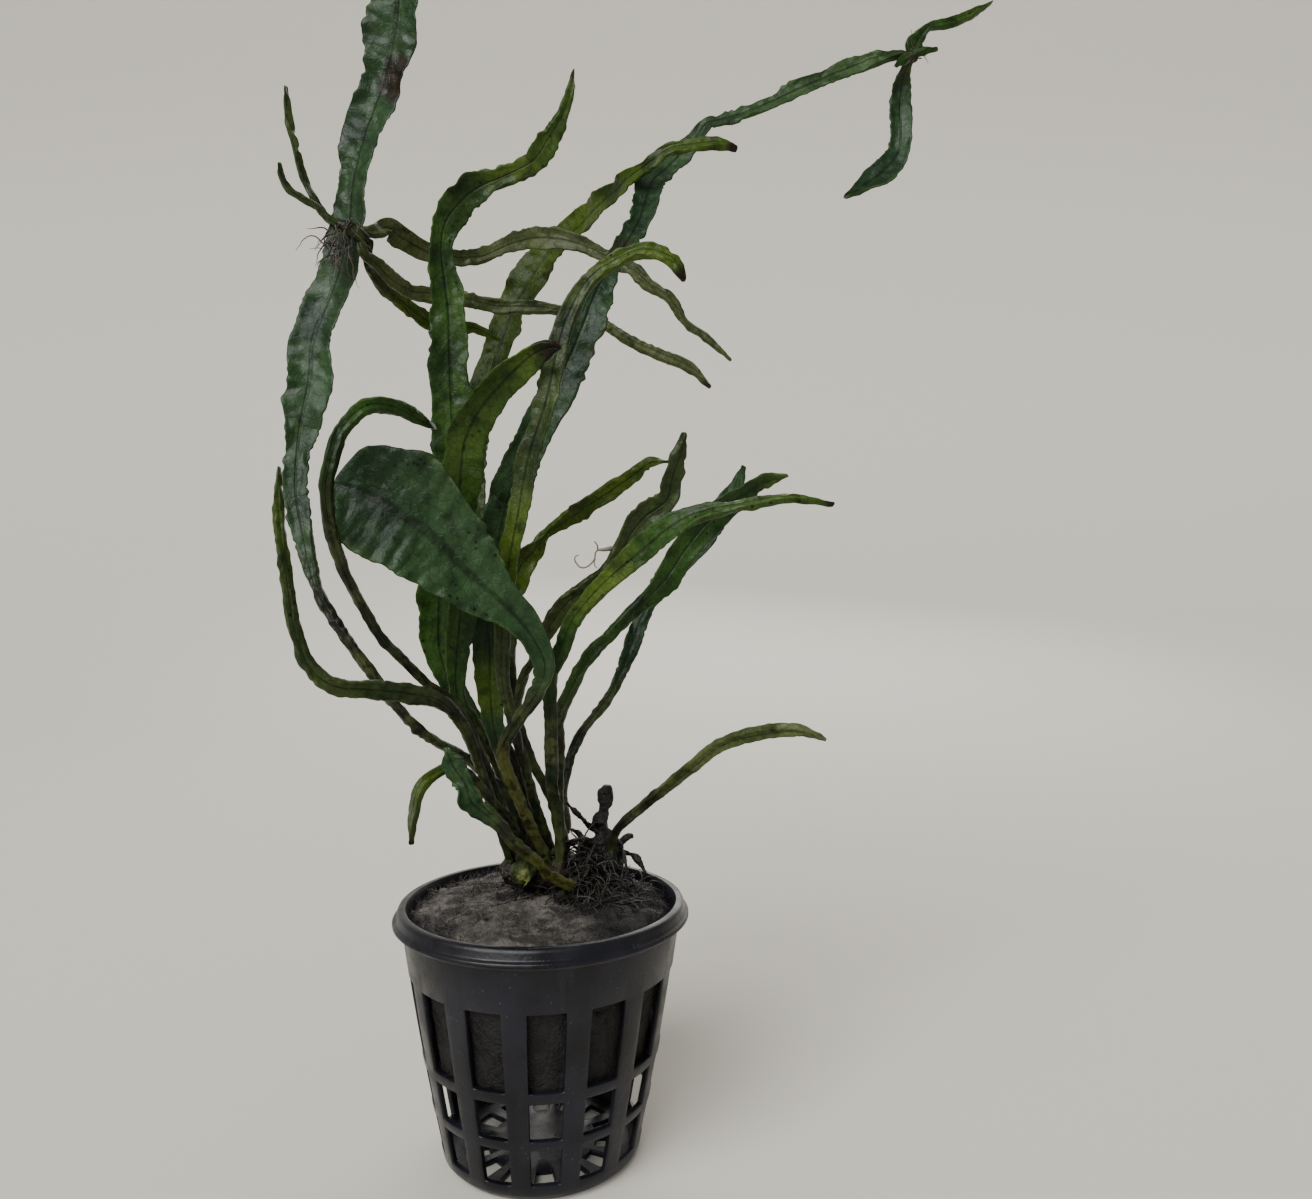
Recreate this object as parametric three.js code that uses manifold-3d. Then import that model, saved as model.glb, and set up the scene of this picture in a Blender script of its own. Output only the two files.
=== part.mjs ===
// Narrow leaf java fern in a net pot: moulded pot, wool plug, creeping rhizome, ribbon leaves, plantlets.
// Millimetres, +Z up. The origin is the centre of the pot's underside, and -Y faces the viewer.
import * as THREE from "three";
import { mergeVertices } from "three/addons/utils/BufferGeometryUtils.js";
import Module from "manifold-3d";

const wasm = await Module();
wasm.setup();

// Net pot
const POT_HEIGHT = 44;
const RIM_RADIUS = 26;
const MOUTH_RADIUS = 24;
const RIM_DROP = 1.6;
const RIM_LIP = 1;
const WALL_TOP_RADIUS = 24.4;
const WALL_FOOT_RADIUS = 17.4;
const WALL_BULGE = 0.4;
const WALL = 1;
const BASE_RADIUS = 15.8;
const BASE_EDGE = 1.6;
const BASE_THICKNESS = 1.2;
const RIBS = 14;
const RIB_TURN = THREE.MathUtils.degToRad(-94.5);
const SEGMENTS = RIBS * 3;
// Each tier of windows: lower edge, upper edge, width
const WINDOW_TIERS = [
  [3.2, 9.6, 4.8],
  [11.2, 17.8, 5.4],
  [19.6, 33, 6],
];
const BASE_SLOT_INNER = 9.5;
const BASE_SLOT_OUTER = 13.6;
const BASE_SLOT_WIDTHS = [2.6, 3.8];

// Wool plug
const WOOL_FOOT = 17;
const WOOL_EDGE = 42.4;
const WOOL_DOME = 2.4;
const WOOL_GAP = 0.6;
const WOOL_LUMP = 0.4;
const WOOL_SEGMENTS = 28;

// Rhizome
const STEM_HEIGHT = 48;
const STEM_RADIUS = 2.4;
const STUB_RADIUS = 1.2;
const STUB_TOP = 50.8;
const STUB_SIDES = 6;
const ROD_SIDES = 8;

// Leaves
const LEAF_BASE = 51.6;
const BLADE_THICKNESS = 0.8;
const STALK_THICKNESS = 1.3;
const STALK_WIDTH = 2.6;
const BLADE_WIDTH = 4;
const FLAT_SHARE = 0.22;
const CUP_SHARE = 0.06;
const STATION_STEP = 6;

const finish = (color, roughness) => new THREE.MeshStandardMaterial({ color, roughness, metalness: 0 });
const potPlastic = finish(0x2b2d33, 0.45);
const wool = finish(0x4a443d, 0.95);
const rootStock = finish(0x3a3420, 0.7);
const darkLeaf = finish(0x1d4226, 0.45);
const midLeaf = finish(0x2c5a1e, 0.45);
const limeLeaf = finish(0x5a7a24, 0.45);
const oliveLeaf = finish(0x4c5428, 0.5);

// Each leaf: finish, turn of its face at base and tip in degrees, and its route as rows of
// x, y, z and the width seen from the front.
const LEAVES = {
  // Big broad leaf at the left, taller than the rest, with a pinch at a third of its height
  leaf_01: [darkLeaf, 20, -30, [
    [-3, 4, LEAF_BASE, 1.6], [-7, 4, 61, 1.6], [-14, 3, 68, 1.6], [-20, 1, 72, 1.6], [-24, -1, 76, 1.6],
    [-30, -2, 84, 1.7], [-35, -2, 91, 1.7], [-40, -1, 99, 1.9], [-43, 1, 108, 2.8], [-45.3, 3, 117, 4.7],
    [-45.5, 5, 127, 5.2], [-44.9, 5.3, 131.4, 6.4], [-43.8, 6, 138, 8.8], [-43.4, 7, 146, 8.6],
    [-39.6, 8, 157, 8], [-37.2, 8, 167, 6.8], [-36.6, 8, 174, 7.2], [-34.2, 7, 183, 7.7],
    [-30.2, 6, 193, 9.9], [-27.3, 4, 203, 10.7], [-26, 2, 213, 8], [-24, 0, 223, 1],
  ]],
  // Thin olive leaf that leaves the bunch sideways and turns up at the far left
  leaf_02: [oliveLeaf, 0, 20, [
    [-6, 0, LEAF_BASE, 1.4], [-9, -3, 62, 1.5], [-12, -7, 74, 1.6], [-15, -12, 80, 1.9], [-20, -16, 82, 2.6],
    [-25, -20, 83, 2.7], [-29, -24, 84, 2.5], [-32, -26, 87, 2.1], [-34, -27, 93, 1.8], [-35, -28, 102, 1.4],
    [-36, -28, 111, 1.2], [-36, -28, 117, 0.6],
  ]],
  // Tall leaf left of the middle, with a broad waist and a bent tip
  leaf_03: [midLeaf, -15, 25, [
    [-4, 12, LEAF_BASE, 1.7], [-9, 13, 63, 1.7], [-15, 13, 75, 3], [-20.5, 12, 85, 6], [-20.8, 11, 97, 9],
    [-18.5, 10, 112, 7], [-18, 9, 127, 7.2], [-18.4, 8.6, 142, 7.4], [-18.6, 8.3, 150, 6.8],
    [-19.2, 8, 156, 6], [-19.8, 7.2, 163, 3.8], [-18.4, 6.4, 168, 5], [-13.5, 5, 172.3, 5.4],
    [-8, 4, 174.4, 2.8], [-3.8, 3, 175.8, 3.1], [-1.3, 2, 177.2, 3.3], [0.8, 1, 179.9, 3.4],
    [3.2, 0.2, 183.2, 2], [4.8, 0, 187.4, 1.5], [5.5, 0, 191.9, 0.6],
  ]],
  // Short broad leaf that crosses the bunch and lies over to the left
  leaf_04: [darkLeaf, 0, 10, [
    [0, 0, LEAF_BASE, 1.8], [-4, -4, 63, 1.7], [-6, -7, 71, 1.9], [-3, -9, 77, 2], [0, -11, 81, 2.3],
    [2, -13, 86, 3], [0, -14, 91, 4.3], [-4, -15, 96, 7], [-9.8, -16, 101.2, 13], [-15, -17, 106.8, 18],
    [-20.8, -18, 111, 19], [-26, -18, 114, 15.5], [-29.2, -18, 115.2, 10.5], [-31.2, -18, 115.8, 4],
  ]],
  // Small leaf that arches over and points back at the middle
  leaf_05: [midLeaf, 0, 15, [
    [-6, 4, LEAF_BASE, 1.4], [-8, 1, 61, 1.4], [-11, -1, 70, 1.4], [-14, -5, 78, 1.4], [-19, -8, 83, 1.3],
    [-22, -11, 87, 1.3], [-25, -14, 91, 1.3], [-27, -17, 96, 1.4], [-29, -20, 102, 1.5], [-30, -23, 108, 1.8],
    [-30, -25, 114, 1.9], [-29, -25, 119, 2.1], [-28, -24, 123, 2.2], [-25, -22, 127, 2.4],
    [-22, -18, 128, 2.4],
    [-19, -13, 127, 2.1], [-17, -9, 126, 0.8],
  ]],
  // Long dark leaf of the middle, which leans over to the right and carries a plantlet at its tip
  leaf_06: [darkLeaf, 10, -20, [
    [-3, 8, LEAF_BASE, 1.9], [-6, 6, 62, 2], [-9, 5, 71, 2.8], [-10, 4, 79, 4.4], [-10, 3, 87, 5.2],
    [-10, 1, 97, 5.4], [-8, 0, 107, 6.1], [-6, -1, 115, 6.4], [-3, -2, 122, 6.7], [1, -3, 130, 6.3],
    [4, -3, 137, 6.7], [7, -3, 144, 6.8], [9.4, -1.5, 151, 5.7], [11.6, 1, 156.5, 4.6],
    [14.5, 4, 161.8, 4.6], [17.1, 7, 167.6, 3.9], [18.1, 9.5, 171.8, 5], [19.5, 12, 176.9, 6.2],
    [22.5, 14, 180.8, 4.6], [25.1, 15.3, 184, 4.5], [27.8, 16, 187.2, 3.9], [30, 16.5, 190.4, 3.5],
    [32.8, 16.8, 191.4, 3.7], [38.9, 17, 193.2, 3.1], [48.5, 17.3, 197.8, 4.2], [59.3, 17.6, 202.4, 3.5],
    [67.6, 17.6, 204.8, 1.8],
  ]],
  // Front leaf with a brown tip
  leaf_07: [midLeaf, 0, 25, [
    [-6, 8, LEAF_BASE, 1.6], [-9, 9, 64, 1.6], [-13, 5, 74, 2.2], [-15.5, 0.5, 81, 3.2], [-14, -3, 97, 4.6],
    [-14, -5, 109, 5.2], [-13, -8, 118, 5.8], [-12, -9, 124, 6.1], [-9, -11, 129, 6], [-4, -13, 134, 5.3],
    [0, -15, 137, 3.9], [3, -16, 138, 2.3], [5, -16, 138, 0.8],
  ]],
  // Lime leaf at the back of the bunch
  leaf_08: [limeLeaf, 0, -25, [
    [-1, 12, LEAF_BASE, 1.7], [-6, 17, 61, 1.8], [-12, 20, 73, 2], [-15, 23, 85, 2.4], [-17, 26, 99, 4.1],
    [-18, 28, 114, 5.8], [-18, 30, 129, 6.3], [-16, 31, 140, 6.4], [-14, 32, 148, 6.4],
    [-11, 33, 157, 6.4], [-7, 33, 165, 7.3], [-1.6, 32, 172, 7.4], [4, 29.5, 175.3, 7.3],
    [7, 24, 175.9, 6.3], [10.3, 19, 176.8, 5.2], [12.8, 15, 176.9, 4.6], [14.9, 11.5, 177.6, 3.8],
    [18.5, 8.5, 178.5, 2.9], [22.4, 7, 180.6, 2.7], [26.7, 6.5, 181.4, 3], [31.7, 6.5, 181.7, 2.4],
    [35.3, 6.5, 180.8, 0.6],
  ]],
  // Slender leaf that crosses in front of the dark one and curls over at its brown tip
  leaf_09: [oliveLeaf, 0, -20, [
    [0, 4, LEAF_BASE, 1.6], [-2, 1, 62, 1.6], [-4, -3, 72, 1.7], [-6, -6, 82, 2.1], [-6, -8, 90, 2.7],
    [-5, -9, 101, 3.4], [-3, -10, 111, 3.7], [-1, -11, 121, 3.7], [2, -12, 130, 3.7], [4, -12, 139, 3.3],
    [6, -12, 145, 3], [9, -12, 150, 2.7], [13, -12, 153, 2.7], [18, -12, 155, 2.8], [22, -12, 154, 2.7],
    [24, -12, 152, 2], [25, -12, 150, 0.8],
  ]],
  // Small wavy leaf with a pinched waist
  leaf_10: [limeLeaf, 0, 30, [
    [0, 8, LEAF_BASE, 1.5], [-3, 10, 59, 1.5], [-5, 11, 68, 1.5], [-7, 12, 78, 1.7], [-8, 13, 87, 2.3],
    [-8, 14, 95, 3.9], [-7, 14, 101, 5.4], [-5, 14, 105, 5.8], [-3, 14, 107, 3.9], [-1, 14, 110, 1.5],
    [5, 13, 114, 3.3], [10, 12, 117, 3.4], [13, 11, 119, 2.9], [16, 10, 121, 2.4], [19, 9, 123, 1.5],
    [23, 8, 123, 0.6],
  ]],
  // Grey-green leaf that zigzags up to the right
  leaf_11: [oliveLeaf, 0, 30, [
    [3, 4, LEAF_BASE, 1.5], [1, 5, 60, 1.5], [-3, 4, 69, 1.4], [-5, 3, 76, 1.3], [-4, 2, 82, 1.3],
    [-2, 0, 86, 1.4], [0, -2, 90, 2.1], [4, -4, 96, 3], [8, -5, 99, 2.6], [12, -6, 102, 2.6],
    [15, -7, 107, 2.9], [18, -8, 111, 4.4], [22, -9, 114, 3.7], [23, -10, 118, 3.7], [24, -11, 121, 3],
    [25, -12, 125, 1],
  ]],
  // Bright leaf that bows over to the right
  leaf_12: [midLeaf, 0, -25, [
    [3, 0, LEAF_BASE, 1.8], [3, -1, 58, 1.9], [2, -3, 64, 2.1], [2, -5, 71, 2.2], [2, -6, 78, 2.2],
    [2, -7, 84, 2.6], [4, -9, 88, 2.7], [6, -11, 93, 2.5], [9, -13, 97, 2.6], [13, -15, 101, 3.3],
    [18, -17, 105, 4.3], [23, -19, 109, 3.8], [28, -20, 111, 2.5], [34, -21, 112, 1.6], [41, -22, 113, 1.2],
    [48, -22, 112, 0.6],
  ]],
  // Leaf that bows over to the right behind the bright one
  leaf_13: [midLeaf, 0, 25, [
    [3, 8, LEAF_BASE, 1.7], [2, 8, 56, 1.8], [2, 8, 63, 1.9], [2, 8, 70, 2], [2, 8, 75, 2.2],
    [5, 9, 82, 2.4], [8, 10, 87, 2.5], [11, 11, 90, 2], [14, 12, 93, 2], [18, 13, 97, 2.7],
    [22, 14, 101, 4.6], [26, 15, 107, 5.3], [31, 16, 113, 5.5], [37, 17, 117.6, 4.1], [42, 18, 120.6, 2.8],
    [46.5, 18.5, 121.8, 0.6],
  ]],
  // Rearmost leaf of the right side
  leaf_14: [darkLeaf, 0, -30, [
    [2, 12, LEAF_BASE, 1.5], [3, 13, 54, 1.5], [2, 15, 59, 1.5], [3, 17, 65, 1.6], [5, 19, 70, 1.6],
    [8, 21, 74, 1.7], [11, 23, 78, 1.8], [13, 25, 82, 2.5], [15, 26, 87, 2.9], [17, 28, 93, 3.5],
    [20, 29, 98, 4.2], [25, 31, 105, 5.1], [31, 32, 112, 5.5], [36, 33, 119, 4.7], [39, 34, 126, 0.8],
  ]],
  // Low yellow-green leaf from the far end of the rhizome
  leaf_15: [limeLeaf, 0, 20, [
    [12, 5, LEAF_BASE, 1.4], [13, 3, 55, 1.4], [15, 1, 57.6, 1.5], [18, 0, 60.4, 1.6], [23, -4, 65.2, 1.9],
    [27, -7, 69, 2], [31, -10, 72.7, 2.2], [37, -14, 75.3, 2.2], [43, -18, 76.3, 1.8], [47, -20, 75, 0.6],
  ]],
  // Small leaf that hangs over the rim at the left
  leaf_16: [oliveLeaf, 0, 20, [
    [-3, 0, LEAF_BASE, 1.2], [-5, -4, 58, 1.2], [-8, -8, 63, 1.2], [-12, -9, 68, 1.3], [-15, -11, 69, 1.6],
    [-18, -14, 67, 1.9], [-19, -16, 63, 1.7], [-19, -18, 58, 0.6],
  ]],
  // Old leaf whose stalk lies on the wool in front of the rhizome, with a short lobed blade
  leaf_17: [darkLeaf, 0, 0, [
    [6, -4, 47, 1.6], [2, -7, 50, 1.6], [0, -9, 53, 1.5], [-3, -11, 56, 1.5], [-6, -12, 60, 1.7],
    [-8, -13, 62, 2.6], [-10, -14, 64, 5], [-11, -14, 67, 3.4], [-13, -14, 70, 4.2], [-14, -14, 73, 0.8],
  ]],
  // Leaves of the plantlet on the big leaf, and the one that hangs from the plantlet at the dark tip
  plantlet_leaf_upper: [oliveLeaf, 10, -10, [
    [-32, 8, 166, 2.6], [-31, 12, 168.2, 3.7], [-29, 14, 167.2, 4], [-25, 17, 165.6, 3.9],
    [-21, 20, 165.6, 3.4], [-15, 22, 166.4, 2.8], [-9, 23, 169.4, 3.8], [-3, 24, 171, 4.3],
    [3.9, 23, 169.6, 3.4], [10.1, 22, 166.6, 2.5], [16, 21, 163, 2.6], [19, 20, 160, 2.4], [23, 19, 157, 1.8],
    [26, 18, 152, 1.6], [30, 17, 149, 1.6], [35, 16, 144, 0.6],
  ]],
  plantlet_leaf_lower: [limeLeaf, 10, -10, [
    [-33.6, 4.6, 160.9, 1.7], [-31.9, 8, 159.9, 2.4], [-30.4, 11, 158.5, 2.7], [-28.9, 14, 157.8, 2.7],
    [-27.2, 17, 157.6, 2.7], [-22.4, 19.5, 157.9, 2.7], [-17, 20, 157, 2.8], [-11, 21, 156, 3],
    [-4, 21, 156, 2.6], [2, 21, 155, 1.8], [9, 21, 153, 1.6], [15, 20, 149, 2.2], [21, 19, 146, 2.2],
    [27, 18, 143, 2.2], [31, 17, 139, 0.8],
  ]],
  plantlet_leaf_hanging: [darkLeaf, 0, 30, [
    [70, 20, 202.6, 1.8], [69.5, 20.5, 200.5, 3.8], [69.2, 21, 195.7, 4.4], [69.3, 20.5, 191, 4.2],
    [68.8, 20, 187, 4.4], [66.8, 19, 183.6, 5], [62.8, 18, 180, 4.6], [57, 16, 176, 0.8],
  ]],
};

// Small leaves that are fused to a plantlet's crown, in the same rows
const LOW_PLANTLET_LEAVES = [
  [[-33, 6, 164, 1.4], [-34, 8.6, 160.6, 1.6], [-32.8, 12.5, 158, 2.2], [-31.5, 16.5, 157, 2.6],
   [-29.9, 19.5, 156.1, 2.9], [-28.5, 21, 155.2, 3], [-25.8, 23.5, 153.8, 2.8], [-21, 24.5, 153, 2.4],
   [-17, 26, 153, 2], [-12, 27, 151, 0.6]],
  [[-37, 4, 165, 1.2], [-40, 3, 167, 1.1], [-42, 3, 170, 1.1], [-44, 3, 174, 1.1], [-45, 2, 179, 1.1],
    [-46, 1, 184, 1], [-46, 0, 189, 0.6]],
  [[-37, 4, 165, 1.2], [-39, 2, 166, 1], [-41, 1, 168, 1], [-43, 0, 169, 1], [-45, -1, 170, 0.9],
    [-46, -2, 172, 0.8], [-46, -3, 174, 0.6]],
];
const LOW_PLANTLET_CROWN = [[-39, 4, 166, 1], [-36, 4, 165, 1.5], [-34, 5, 164, 1.3], [-33, 6, 164, 0.8]];
const TIP_PLANTLET_LEAVES = [
  [[70.5, 18, 204.7, 1.4], [71.3, 18, 206.6, 3.4], [72.4, 19, 208.6, 2.8], [74.5, 19, 211, 1.3],
    [79, 20, 212.6, 1.6], [83.7, 21, 215, 1.5], [88.2, 22, 218, 0.6]],
  [[70.5, 18, 204.7, 1.2], [72.8, 17, 205.3, 1.4], [75.4, 16, 205, 0.6]],
  [[70.5, 18, 204.7, 1.2], [68.6, 16.4, 203, 1.8], [66.8, 15.4, 201.4, 0.6]],
];
const TIP_PLANTLET_CROWN = [[69.9, 17.4, 204.9, 0.7], [70.7, 18, 204.7, 1.1], [71.8, 18.8, 204.4, 0.7]];

// Rods of the rhizome: rows of x, y, z and radius
const RHIZOME_STEMS = [
  [[-8, 4, STEM_HEIGHT, 1.4], [-5, 4, STEM_HEIGHT, 2.5], [0, 4, STEM_HEIGHT, STEM_RADIUS],
    [6, 5, STEM_HEIGHT, STEM_RADIUS], [11, 7, STEM_HEIGHT, 2.2], [14, 8, 47.5, 1.2]],
  [[-7, 0, STEM_HEIGHT, 1.6], [-3, 0, STEM_HEIGHT, STEM_RADIUS], [2, 0, STEM_HEIGHT, STEM_RADIUS],
    [5, 1, 47.5, 1.4]],
  [[-7, 9, STEM_HEIGHT, 1.6], [-3, 9, STEM_HEIGHT, STEM_RADIUS], [2, 10, STEM_HEIGHT, STEM_RADIUS],
    [5, 10, 47.5, 1.4]],
  [[-2, -1, STEM_HEIGHT, 1.8], [-2, 4, STEM_HEIGHT, STEM_RADIUS], [-2, 9, STEM_HEIGHT, STEM_RADIUS],
    [-1, 13, STEM_HEIGHT, 1.8]],
  [[-3, 0, STEM_HEIGHT, 2.2], [-3.2, -3.6, 49.5, 2.3], [-3.4, -5.4, 50.2, 1.3]],
];
// Dead stumps of old stalks at the right, dark and knobbly
const OLD_STUMPS = [
  [[9.4, 8, 48, 2.6], [9.9, 8, 51.4, 1.8], [10.1, 8, 54.2, 1.1], [9.8, 8, 56, 1.5],
    [10.5, 8, 57.9, 1], [10.7, 8, 60, 1.6], [11.2, 8, 62.5, 0.8]],
  [[12, 8, 48, 1.4], [14, 9, 52, 0.9], [16, 9, 53, 0.6]],
  [[7, 7, 48, 1.2], [6, 8, 53, 0.8], [4, 9, 54, 0.5]],
];

// Turns a closed geometry into a solid for cutting and joining
function toSolid(geometry) {
  const bare = geometry.clone();
  bare.deleteAttribute("normal");
  bare.deleteAttribute("uv");
  const merged = mergeVertices(bare, 1e-4);
  return new wasm.Manifold(
    new wasm.Mesh({
      numProp: 3,
      vertProperties: new Float32Array(merged.attributes.position.array),
      triVerts: new Uint32Array(merged.index.array),
    }),
  );
}

function toGeometry(solid) {
  const mesh = solid.getMesh();
  const geometry = new THREE.BufferGeometry();
  geometry.setAttribute("position", new THREE.BufferAttribute(new Float32Array(mesh.vertProperties), 3));
  geometry.setIndex(new THREE.BufferAttribute(new Uint32Array(mesh.triVerts), 1));
  geometry.computeVertexNormals();
  return geometry;
}

const joined = (solids) => solids.reduce((sum, solid) => sum.add(solid));

// Skins a closed body over rings of points, with a flat cap on each end
function skinRings(rings) {
  const count = rings[0].length;
  const positions = rings.flat().flatMap((p) => [p.x, p.y, p.z]);
  const index = [];
  for (let i = 0; i + 1 < rings.length; i += 1) {
    for (let j = 0; j < count; j += 1) {
      const a = i * count + j;
      const b = i * count + ((j + 1) % count);
      index.push(a, b, b + count, a, b + count, a + count);
    }
  }
  const last = (rings.length - 1) * count;
  for (let j = 1; j + 1 < count; j += 1) {
    index.push(0, j + 1, j, last, last + j, last + j + 1);
  }
  const geometry = new THREE.BufferGeometry();
  geometry.setAttribute("position", new THREE.Float32BufferAttribute(positions, 3));
  geometry.setIndex(index);
  geometry.computeVertexNormals();
  return geometry;
}

// Stations along a route: the place, the size there and the two directions across the route
function stationsAlong(route, step, baseTurn, tipTurn) {
  const path = new THREE.CatmullRomCurve3(
    route.map(([x, y, z]) => new THREE.Vector3(x, y, z)),
    false,
    "catmullrom",
    0.5,
  );
  const sizes = route.map((row) => row[3]);
  const steps = Math.max(3, Math.round(path.getLength() / step));
  const viewer = new THREE.Vector3(0, -1, 0);
  const stations = [];
  for (let i = 0; i <= steps; i += 1) {
    const share = i / steps;
    const t = path.getUtoTmapping(share);
    const spot = t * (route.length - 1);
    const row = Math.min(Math.floor(spot), route.length - 2);
    const size = THREE.MathUtils.lerp(sizes[row], sizes[row + 1], spot - row);
    const along = path.getTangent(t);
    const turn = THREE.MathUtils.degToRad(THREE.MathUtils.lerp(baseTurn, tipTurn, share));
    const across = new THREE.Vector3().crossVectors(along, viewer).normalize().applyAxisAngle(along, turn);
    const out = new THREE.Vector3().crossVectors(across, along).normalize();
    stations.push({ at: path.getPoint(t), size, turn, across, out });
  }
  return stations;
}

const place = ({ at, across, out }, a, o) => at.clone().addScaledVector(across, a).addScaledVector(out, o);

// A ribbon leaf: a round stalk that flattens into a thin blade, cupped towards its edges
function leafGeometry(route, baseTurn, tipTurn) {
  const rings = stationsAlong(route, STATION_STEP, baseTurn, tipTurn).map((station) => {
    const width = station.size / Math.cos(station.turn);
    const flatness = THREE.MathUtils.smoothstep(width, STALK_WIDTH, BLADE_WIDTH);
    const full = THREE.MathUtils.lerp(STALK_THICKNESS, BLADE_THICKNESS, flatness);
    const half = Math.min(full, width) / 2;
    const edge = width / 2;
    const flat = width * FLAT_SHARE;
    const cup = width * CUP_SHARE * flatness;
    return [
      place(station, -edge, cup),
      place(station, -flat, half),
      place(station, flat, half),
      place(station, edge, cup),
      place(station, flat, -half),
      place(station, -flat, -half),
    ];
  });
  return skinRings(rings);
}

// A rod of round section along rows of x, y, z and radius
function rodGeometry(route, step) {
  const rings = stationsAlong(route, step, 0, 0).map((station) => {
    const ring = [];
    for (let j = 0; j < ROD_SIDES; j += 1) {
      const angle = (j / ROD_SIDES) * 2 * Math.PI;
      ring.push(place(station, station.size * Math.cos(angle), -station.size * Math.sin(angle)));
    }
    return ring;
  });
  return skinRings(rings);
}

// Outer radius of the pot's wall at a height
function wallRadius(z) {
  const share = (z - BASE_EDGE) / (POT_HEIGHT - 3 - BASE_EDGE);
  const bulge = WALL_BULGE * Math.sin(Math.PI * share);
  return THREE.MathUtils.lerp(WALL_FOOT_RADIUS, WALL_TOP_RADIUS, share) + bulge;
}

function potGeometry() {
  const wallHeights = [BASE_EDGE, 10.4, 18.7, 33, POT_HEIGHT - 3];
  const outline = [
    [0, 0],
    [BASE_RADIUS, 0],
    ...wallHeights.map((z) => [wallRadius(z), z]),
    [RIM_RADIUS, POT_HEIGHT - RIM_DROP - RIM_LIP],
    [RIM_RADIUS, POT_HEIGHT - RIM_DROP],
    [MOUTH_RADIUS + 0.4, POT_HEIGHT],
    [MOUTH_RADIUS - 0.2, POT_HEIGHT],
    ...wallHeights.toReversed().slice(0, -1).map((z) => [wallRadius(z) - WALL, z]),
    [BASE_RADIUS - 0.2, BASE_THICKNESS],
    [0, BASE_THICKNESS],
  ];
  const shell = new THREE.LatheGeometry(outline.map(([r, z]) => new THREE.Vector2(r, z)), SEGMENTS);
  shell.rotateX(Math.PI / 2);
  let pot = toSolid(shell);
  for (let rib = 0; rib < RIBS; rib += 1) {
    const angle = RIB_TURN + ((rib + 0.5) / RIBS) * 2 * Math.PI;
    const cutters = WINDOW_TIERS.map(([low, high, width]) => {
      const box = new THREE.BoxGeometry(POT_HEIGHT / 4, width, high - low);
      return box.translate(wallRadius(low), 0, (low + high) / 2).rotateZ(angle);
    });
    const [inner, outer] = BASE_SLOT_WIDTHS;
    const slot = new THREE.Shape([
      new THREE.Vector2(BASE_SLOT_INNER, -inner / 2),
      new THREE.Vector2(BASE_SLOT_OUTER, -outer / 2),
      new THREE.Vector2(BASE_SLOT_OUTER, outer / 2),
      new THREE.Vector2(BASE_SLOT_INNER, inner / 2),
    ]);
    const slotCutter = new THREE.ExtrudeGeometry(slot, { depth: 2 * BASE_THICKNESS, bevelEnabled: false });
    cutters.push(slotCutter.translate(0, 0, -BASE_THICKNESS / 2).rotateZ(angle));
    pot = cutters.reduce((solid, cutter) => solid.subtract(toSolid(cutter)), pot);
  }
  return toGeometry(pot);
}

// Height of the wool's top at a distance from the middle
const woolTop = (radius) => WOOL_EDGE + WOOL_DOME * (1 - (radius / MOUTH_RADIUS) ** 2);

function woolGeometry() {
  const sideHeights = [WOOL_FOOT, 25, 33, WOOL_EDGE - 1];
  const topRadii = [21.5, 17, 12, 6];
  const outline = [
    [0, WOOL_FOOT],
    ...sideHeights.map((z) => [wallRadius(z) - WALL - WOOL_GAP, z]),
    ...topRadii.map((r) => [r, woolTop(r)]),
    [0, woolTop(0)],
  ];
  const plug = new THREE.LatheGeometry(outline.map(([r, z]) => new THREE.Vector2(r, z)), WOOL_SEGMENTS);
  plug.rotateX(Math.PI / 2);
  const spots = plug.attributes.position;
  for (let i = 0; i < spots.count; i += 1) {
    const x = spots.getX(i);
    const y = spots.getY(i);
    const z = spots.getZ(i);
    const lump = WOOL_LUMP * Math.sin(x * 0.9 + 1) * Math.cos(y * 0.8);
    if (z > WOOL_EDGE && Math.hypot(x, y) > 1) {
      spots.setZ(i, z + lump);
    }
    if (z < WOOL_FOOT + 1) {
      spots.setZ(i, z + 2 * lump);
    }
  }
  return toGeometry(toSolid(plug));
}

function rhizomeGeometry() {
  const rods = [...RHIZOME_STEMS, ...OLD_STUMPS].map((route) => toSolid(rodGeometry(route, 3.5)));
  const stubs = Object.entries(LEAVES)
    .filter(([, [, , , route]]) => route[0][2] === LEAF_BASE)
    .map(([, [, , , [[x, y]]]]) => {
      const length = STUB_TOP - STEM_HEIGHT;
      const stub = new THREE.CylinderGeometry(STUB_RADIUS * 0.8, STUB_RADIUS, length, STUB_SIDES);
      return toSolid(stub.rotateX(Math.PI / 2).translate(x, y, (STUB_TOP + STEM_HEIGHT) / 2));
    });
  return toGeometry(joined([...rods, ...stubs]));
}

function plantletGeometry(crown, leaves) {
  const solids = leaves.map((route) => toSolid(leafGeometry(route, 0, 0)));
  return toGeometry(joined([toSolid(rodGeometry(crown, 2)), ...solids]));
}

const plant = new THREE.Group();

function addPiece(name, geometry, material) {
  const piece = new THREE.Mesh(geometry, material);
  piece.name = name;
  plant.add(piece);
}

addPiece("net_pot", potGeometry(), potPlastic);
addPiece("rockwool", woolGeometry(), wool);
addPiece("rhizome", rhizomeGeometry(), rootStock);
for (const [name, [material, baseTurn, tipTurn, route]] of Object.entries(LEAVES)) {
  addPiece(name, leafGeometry(route, baseTurn, tipTurn), material.clone());
}
addPiece("plantlet_low", plantletGeometry(LOW_PLANTLET_CROWN, LOW_PLANTLET_LEAVES), oliveLeaf.clone());
addPiece("plantlet_tip", plantletGeometry(TIP_PLANTLET_CROWN, TIP_PLANTLET_LEAVES), midLeaf.clone());

export default plant;
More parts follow.
